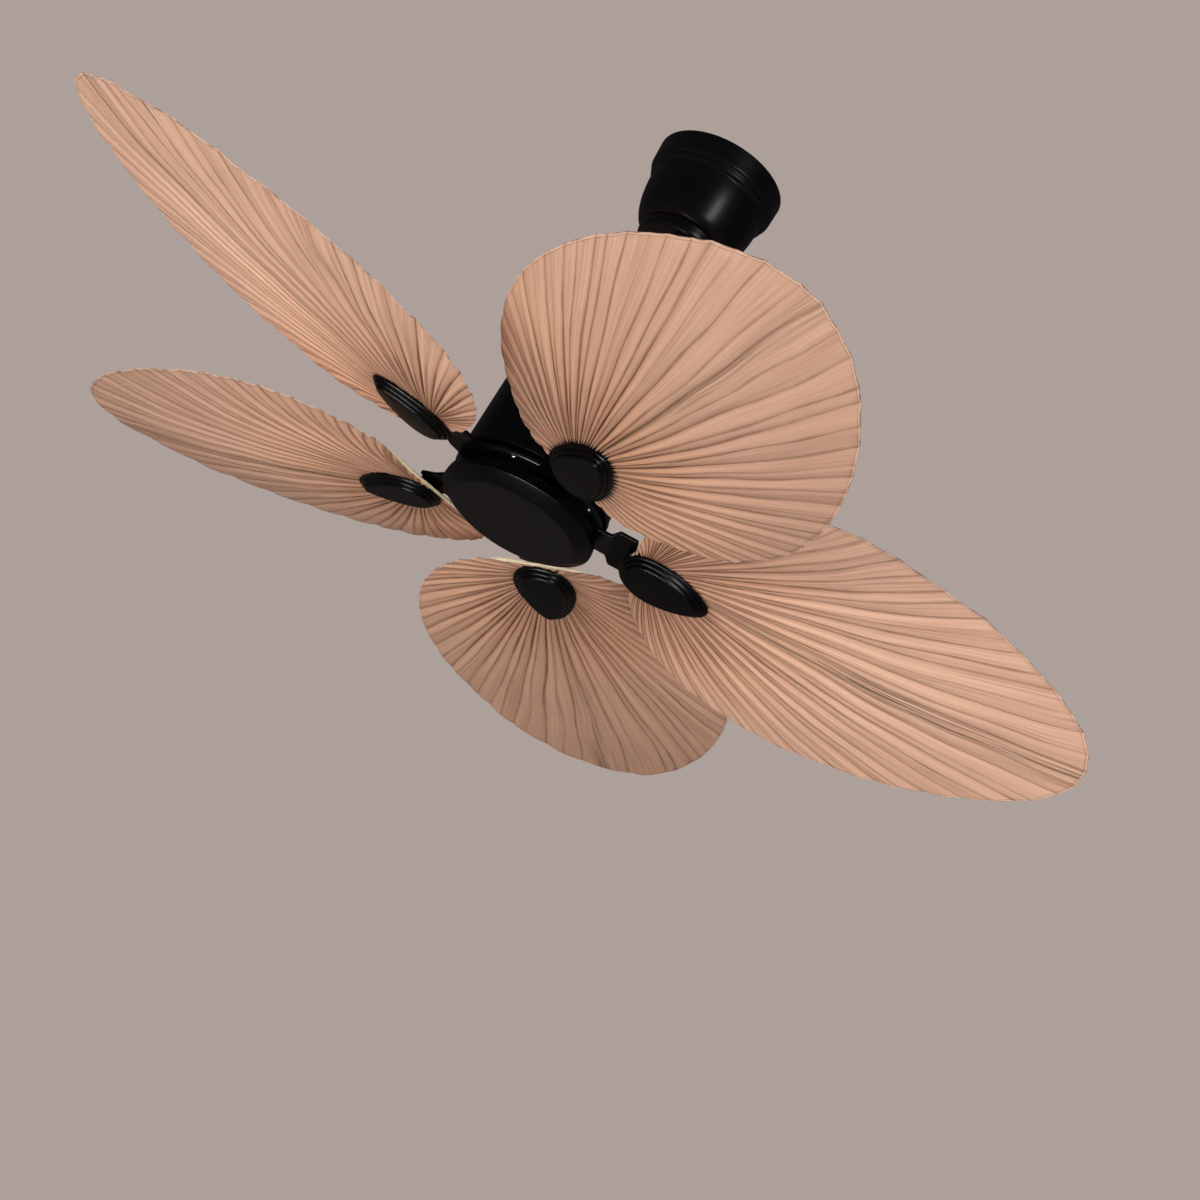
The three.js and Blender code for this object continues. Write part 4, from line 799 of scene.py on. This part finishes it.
def leafMesh(leaf, seed):
    form = leafForm
    folds, steps, rows = 2 * form["pleats"], len(form["between"]), form["rows"]
    columns = folds * steps
    outline, gone = leafOutline(leaf)
    traits = foldTraits(random.Random(seed), folds)
    yaw = math.radians(leaf["yaw"])
    points = []
    measures = {title: [] for title in leafMeasures}

    def place(x, y, z, **found):
        half = form["thickness"] / 2
        found.update(reach=math.hypot(x, y), tone=leaf["tone"], stain=leaf["stain"])
        # The painted shadow in the gaps under the medallion goes on the underside only.
        for lift, hubGap in ((half, 1.0), (-half, medallionGap(*turned(x, y, yaw)) / leaf["gapShadow"])):
            points.append((x, y, z + lift))
            found["hubGap"] = hubGap
            for title, value in found.items():
                measures[title].append(value)

    def edgeAt(fold, reach):
        # A fold line wanders a little on its way out.
        perFold, perMetre = form["meanderScale"]
        wander = noise.noise((fold % folds * perFold, reach * perMetre, seed))
        wander *= form["meander"] * smoothStep(*form["meanderStarts"], reach)
        return alongOutline(outline, gone, (fold + traits[fold % folds]["sway"] + wander) / folds)

    hub = leaf["hub"]
    place(*hub, 0, **form["atHub"])
    for row in range(rows + 1):
        for fold in range(folds):
            here, after = traits[fold], traits[(fold + 1) % folds]
            middle = alongOutline(outline, gone, (fold + 0.5) / folds)
            inner = min(form["clampReach"] / math.hypot(*middle), form["innermost"])
            spread = ((row - 1) / (rows - 1)) ** form["rowSpread"] if row else 0
            share = between(inner, 1.0, spread) if row else inner / 2
            reach = share * math.hypot(*middle)
            start, end = edgeAt(fold, reach), edgeAt(fold + 1, reach)
            outX, outY = middle[0] - hub[0], middle[1] - hub[1]
            pitch = abs(outX * (end[1] - start[1]) - outY * (end[0] - start[0])) / math.hypot(outX, outY)
            for t in form["between"]:
                edgeX, edgeY = between(start[0], end[0], t), between(start[1], end[1], t)
                phase = fold + t
                x, y = foldPoint(leaf, edgeX, edgeY, share)
                distance = math.hypot(x, y)
                wave = 1 - 2 * abs(math.sin(math.pi * phase / 2)) ** form["crease"]
                depth = wave * between(here["full"], after["full"], t) * pleatRise(distance, share)
                second = (after if fold % 2 == 0 else here)["weight"] * form["secondFold"]
                second *= math.exp(-abs(phase % 2 - 1) / form["secondWidth"])
                second *= between(1.0, form["secondAtEdge"], smoothStep(*form["secondFades"], share))
                ripple = noise.noise((x * form["rippleScale"], y * form["rippleScale"], seed))
                flutter = noise.noise((phase * form["flutterScale"], seed, 3))
                ripple += flutter * smoothStep(*form["flutterStarts"], share)
                ripple *= form["ripple"] * smoothStep(*form["rippleStarts"], distance)
                nearest = here if t < 0.5 else after
                strong = 1 - (1 - nearest["weight"]) * smoothStep(*form["weightSettles"], distance)
                strong *= between(1.0, form["weightAtEdge"], smoothStep(*form["weightFades"], share))
                place(x, y, leafHeight(leaf, x, y) + depth + second + ripple,
                      lineGap=min(t, 1 - t) * pitch * share, weight=strong,
                      gap=math.hypot(edgeX, edgeY) * (1 - share),
                      turn=math.atan2(edgeY, edgeX) - leaf["midrib"])
    reachOf = measures["reach"]
    faces, uvs = [], []

    def top(row, c):
        return 2 + 2 * (row * columns + c % columns)

    def add(face, places):
        faces.append(face)
        uvs.append(places)
        faces.append([v + 1 for v in reversed(face)])
        uvs.append(list(reversed(places)))

    def phaseAt(c):
        return c // steps + form["between"][c % steps]

    for c in range(columns):
        u, w = phaseAt(c), phaseAt(c + 1)
        a, b = top(0, c), top(0, c + 1)
        add([0, a, b], [(u, 0), (u, reachOf[a]), (w, reachOf[b])])
        for row in range(rows):
            a, b, d, e = top(row, c), top(row + 1, c), top(row + 1, c + 1), top(row, c + 1)
            add([a, b, d, e], [(u, reachOf[a]), (u, reachOf[b]), (w, reachOf[d]), (w, reachOf[e])])
        a, b = top(rows, c), top(rows, c + 1)
        faces.append([a, a + 1, b + 1, b])
        uvs.append([(u, reachOf[a]), (u, reachOf[a]), (w, reachOf[b]), (w, reachOf[b])])
    return points, faces, uvs, measures


def leafMatrix(i, leaf):
    focus = Matrix.Translation((leafForm["focusX"] - blade["start"], 0, leafMiddle))
    return bladeMatrix(i) @ focus @ Matrix.Rotation(math.radians(leaf["yaw"]), 4, "Z")


def makeLeaf(i, leaf):
    points, faces, uvs, measures = leafMesh(leaf, leafForm["firstSeed"] + leafForm["seedStep"] * i)
    piece = bladePiece("palmLeaf", i, leafMatrix(i, leaf), points, faces, "palmLeaf", "leaf",
                       sharpAngle=75)
    addUvs(piece, "pleatMap", uvs)
    for title, values in measures.items():
        piece.data.attributes.new(title, "FLOAT", "POINT").data.foreach_set("value", values)


for leafIndex, leafValues in enumerate(leaves):
    makeLeaf(leafIndex, leafValues)
print("leaves made:", len(leaves))


def medallionRing(inset, z):
    ringPoints = []
    for t in spaced(0, fullTurn, medallion["facets"])[:-1]:
        x, y = medallionPoint(t)
        swell = math.exp(medallion["eggShape"] * math.cos(t))
        slopeX = medallion["length"] * math.sin(t) / 2
        slopeY = medallion["halfWidth"] * swell * (math.cos(t) - medallion["eggShape"] * math.sin(t) ** 2)
        inward = Vector((slopeY, -slopeX, 0)).normalized() * inset
        ringPoints.append(Vector((x, y, z)) + inward)
    return ringPoints


def medallionSection():
    # (inset, height) from the rim's top over the three ridges down to the field.
    step, rise = medallion["step"], medallion["rise"]
    section = [*medallion["rim"], (0.0, -medallion["rimDepth"] * rise)]
    for ridge in range(medallion["ridges"]):
        section += [((ridge + across) * step, -(ridge + down) * rise) for across, down in medallion["ridge"]]
    return section


def makeMedallion(i):
    loops = [medallionRing(inset, z) for inset, z in medallionSection()]
    last = loops[-1]
    centre = sum(last, Vector()) / len(last)
    for share, sink in medallion["fieldSink"]:
        loops.append([centre + (p - centre) * share - Vector((0, 0, sink)) for p in last])
    count = medallion["facets"]
    points = [p for loop in loops for p in loop]
    faces = bandFaces(0, len(loops) - 1, count)
    points.append(centre - Vector((0, 0, medallion["fieldSink"][-1][1])))
    base = (len(loops) - 1) * count
    faces += [[base + k, base + (k + 1) % count, len(points) - 1] for k in range(count)]
    points.append(sum(loops[0], Vector()) / count)
    faces += [[(k + 1) % count, k, len(points) - 1] for k in range(count)]
    bladePiece("medallionShield", i, bladeMatrix(i), points, faces, "castBlack", "medallion",
               sharpAngle=50)


def addRound(points, faces, centre, section, sides=24):
    # A small closed form about an upright axis; its section of (radius, height) runs downwards.
    base, last = len(points), len(points) + (len(section) - 1) * sides
    for radius, z in section:
        points += [centre + circlePoint(radius, fullTurn * s / sides, z) for s in range(sides)]
    faces += [face[::-1] for face in bandFaces(base, len(section) - 1, sides)]
    faces += [list(range(base, base + sides)), list(reversed(range(last, last + sides)))]


def makeBosses(i):
    points, faces = [], []
    radius = medallion["bossRadius"]
    section = [(radius, ironUnderside - medallion["bossInset"]), (radius, medallion["bossFoot"])]
    for x, y in medallion["bosses"]:
        addRound(points, faces, Vector((x - blade["start"], y, 0)), section)
    bladePiece("medallionBosses", i, bladeMatrix(i), points, faces, "castBlack")


iron = {
    "thickness": 0.0040, "padStart": 0.050, "padHalfWidth": 0.025, "twistStart": 0.099, "twistEnd": 0.109,
    "plateHalfWidth": 0.031, "plateEnd": 0.1295, "cornerCut": 0.0015, "stepLength": 0.008, "padGap": 0.0003,
    "tongueHalfWidth": 0.021, "narrowing": 1.4, "tipX": 0.212, "tipLength": 0.004, "tipHalfWidth": 0.008,
    "tipShare": 0.5, "cuts": (8, 4, 5), "softWidth": 0.0008, "softSegments": 3, "softAngle": 40,
}


def ironHalfWidth(x):
    if x <= iron["plateEnd"]:
        widened = smoothStep(iron["twistStart"], iron["twistEnd"], x)
        return between(iron["padHalfWidth"], iron["plateHalfWidth"], widened)
    narrowed = ((x - iron["plateEnd"]) / (iron["tipX"] - iron["plateEnd"])) ** iron["narrowing"]
    return between(iron["tongueHalfWidth"], iron["tipHalfWidth"], narrowed)


def makeIron(i):
    tongueStart = iron["plateEnd"] + iron["stepLength"]
    tipStart, cornerCut = iron["tipX"] - iron["tipLength"], iron["cornerCut"]
    twistCuts, stepCuts, tongueCuts = iron["cuts"]
    xs = [iron["padStart"], *spaced(iron["twistStart"], iron["twistEnd"], twistCuts),
          iron["plateEnd"] - cornerCut, iron["plateEnd"],
          *spaced(iron["plateEnd"] + cornerCut, tongueStart, stepCuts),
          *spaced(tongueStart, tipStart, tongueCuts)[1:], iron["tipX"]]
    halfThick = iron["thickness"] / 2
    padMiddle = flywheelBottom - iron["padGap"] - halfThick
    points = []
    for x in xs:
        half = ironHalfWidth(x)
        if x == iron["plateEnd"]:
            half -= cornerCut
        if x == iron["tipX"]:
            half *= iron["tipShare"]
        pitch = math.radians(blade["pitch"]) * smoothStep(iron["twistStart"], iron["twistEnd"], x)
        drop = (x - blade["start"]) * math.tan(math.radians(blade["droop"]))
        tongueZ = rimHeight - drop + (ironUnderside + halfThick) / math.cos(pitch)
        z = between(padMiddle, tongueZ, smoothStep(iron["plateEnd"], tongueStart, x))
        for across, up in ((-half, halfThick), (-half, -halfThick), (half, -halfThick), (half, halfThick)):
            aside, above = turned(across, up, pitch)
            points.append(Vector((x, aside, z + above)))
    faces = bandFaces(0, len(xs) - 1, 4)
    end = 4 * (len(xs) - 1)
    faces += [[3, 2, 1, 0], [end, end + 1, end + 2, end + 3]]
    piece = bladePiece("ironArm", i, spokeMatrix(i), points, faces, "castBlack", "blade_iron")
    soften = piece.modifiers.new("softEdges", "BEVEL")
    soften.width, soften.segments = iron["softWidth"], iron["softSegments"]
    soften.limit_method, soften.angle_limit = "ANGLE", math.radians(iron["softAngle"])
    evenShading(piece)


splint = {"width": 0.006, "thickness": 0.003, "rootGap": 0.0003, "endGap": 0.008, "stations": 48, "sides": 10,
          "endTaper": 0.75, "taperLength": 0.1, "wanderScale": 45, "rough": 0.0007, "roughScale": (60, 0.7),
          "girthStep": 0.0015, "flatness": 0.4,
          "strands": ({"share": 0.62, "offset": -0.0018, "wander": 0.0002, "shorter": 1.0},
                      {"share": 0.36, "offset": -0.0047, "wander": 0.0011, "shorter": 0.86})}


def makeSplint(i, leaf):
    # Split cane: a stout strand along the root edge and a thinner one beside it.
    half = (leafForm["sweepRadius"] - leaf["eggStart"]) / 2
    rootHalf = eggHalfWidth(leaf, math.acos((leaf["rootX"] - leaf["eggStart"]) / half - 1)) - splint["endGap"]
    outerX = leaf["rootX"] - leafForm["focusX"] - splint["rootGap"]
    around, stations, girth = splint["sides"], splint["stations"], splint["girthStep"]
    alongScale, roundScale = splint["roughScale"]
    points, uvs, faces = [], [], []
    for number, strand in enumerate(splint["strands"]):
        base = len(points)
        halfWide = splint["width"] / 2 * strand["share"]
        halfThick = splint["thickness"] / 2 * strand["share"] ** splint["flatness"]
        for t in spaced(0, 1, stations):
            y = between(-rootHalf, rootHalf, t) * leaf["splint"] * strand["shorter"]
            z = leafHeight(leaf, outerX, y)
            taper = 1 - splint["endTaper"] * smoothStep(splint["taperLength"], 0, min(t, 1 - t))
            wander = strand["wander"] * noise.noise((y * splint["wanderScale"], number, i))
            for k in range(around):
                angle = fullTurn * k / around
                uneven = splint["rough"] * noise.noise((y * alongScale, k * roundScale, 5 + i + number))
                x = outerX + strand["offset"] + wander + (halfWide * taper + min(uneven, 0)) * math.cos(angle)
                points.append(Vector((min(x, outerX), y, z + (halfThick * taper + uneven) * math.sin(angle))))
        for face in bandFaces(base, stations, around):
            faces.append(face)
            u, y0, y1 = (face[0] - base) % around * girth, points[face[0]].y, points[face[3]].y
            uvs.append([(u, y0), (u + girth, y0), (u + girth, y1), (u, y1)])
        end = base + stations * around
        faces += [list(reversed(range(base, base + around))), list(range(end, end + around))]
        uvs += [[(0, 0)] * around] * 2
    piece = bladePiece("caneSplint", i, leafMatrix(i, leaf), points, faces, "splitCane", "root_splint",
                       sharpAngle=60)
    addUvs(piece, "caneMap", uvs)


for i in range(blade["count"]):
    makeMedallion(i)
    makeBosses(i)
    makeIron(i)
    makeSplint(i, leaves[i])
print("irons, medallions and splints made")

flywheel = {"radius": 0.0890, "plate": 0.0056, "chamfer": 0.0010, "rotorRadius": 0.0820, "rotorWall": 0.0040,
            "boss": 0.0243, "bore": 0.0164, "ease": 0.0004,
            "screwRadius": 0.0032, "screwRing": 0.0835, "screwHeight": 0.0022,
            "screwForm": ((1.0, 0.0), (1.0, 0.35), (0.88, 0.75), (0.6, 0.97), (0.3, 1.0))}


def makeFlywheel(v):
    low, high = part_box("flywheel")
    bottom, top, cut = low.z, low.z + v["plate"], v["chamfer"]
    outer, rotorOuter, rotorInner = v["radius"], v["rotorRadius"], v["rotorRadius"] - v["rotorWall"]
    section = [(v["bore"], bottom), (outer - cut, bottom), (outer, bottom + cut), (outer, top - cut),
               (outer - cut, top), (rotorOuter, top), (rotorOuter, high.z), (rotorInner, high.z),
               (rotorInner, top), (v["boss"], top), (v["bore"], top)]
    turnedPiece("flywheelDisc", section, "glossBlack", "rotor", "flywheel", v["ease"])


def makeFlywheelScrews(v):
    # Pan heads midway between the irons.
    points, faces = [], []
    section = [(v["screwRadius"] * share, -v["screwHeight"] * depth) for share, depth in v["screwForm"]]
    for i in range(blade["count"]):
        centre = circlePoint(v["screwRing"], fullTurn * (i + 0.5) / blade["count"], flywheelBottom)
        addRound(points, faces, centre, section)
    addPiece("flywheelScrews", points, faces, "brightScrew", "rotor", sharpAngle=50)


makeFlywheel(flywheel)
makeFlywheelScrews(flywheel)

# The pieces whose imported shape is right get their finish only.
keptFinish = {
    "zincPlate": ("hanger_bracket", "motor_coupling", "cap_plate", "shaft_nut"),
    "turnedSteel": ("canopy_screw_1", "canopy_screw_2", "ball_pin", "clevis_pin", "stator_shaft",
                    "bearing_inner_upper", "bearing_inner_lower", "bearing_outer_upper", "bearing_outer_lower"),
    "nylonBlack": ("hanger_ball",), "greyCase": ("capacitor",), "castAlloy": ("rotor_shell",),
    "coreSteel": ("stator_core", "rotor_cage"), "copperWire": ("stator_winding",),
}
for finishName, nodeNames in keptFinish.items():
    for nodeName in nodeNames:
        mesh = cadNodes[nodeName].data
        mesh.materials.clear()
        mesh.materials.append(finish[finishName])
        mesh.shade_smooth()
        mesh.set_sharp_from_angle(angle=math.radians(shading["keptAngle"]))
print("packed pieces finished:", sum(len(names) for names in keptFinish.values()))

print("done")
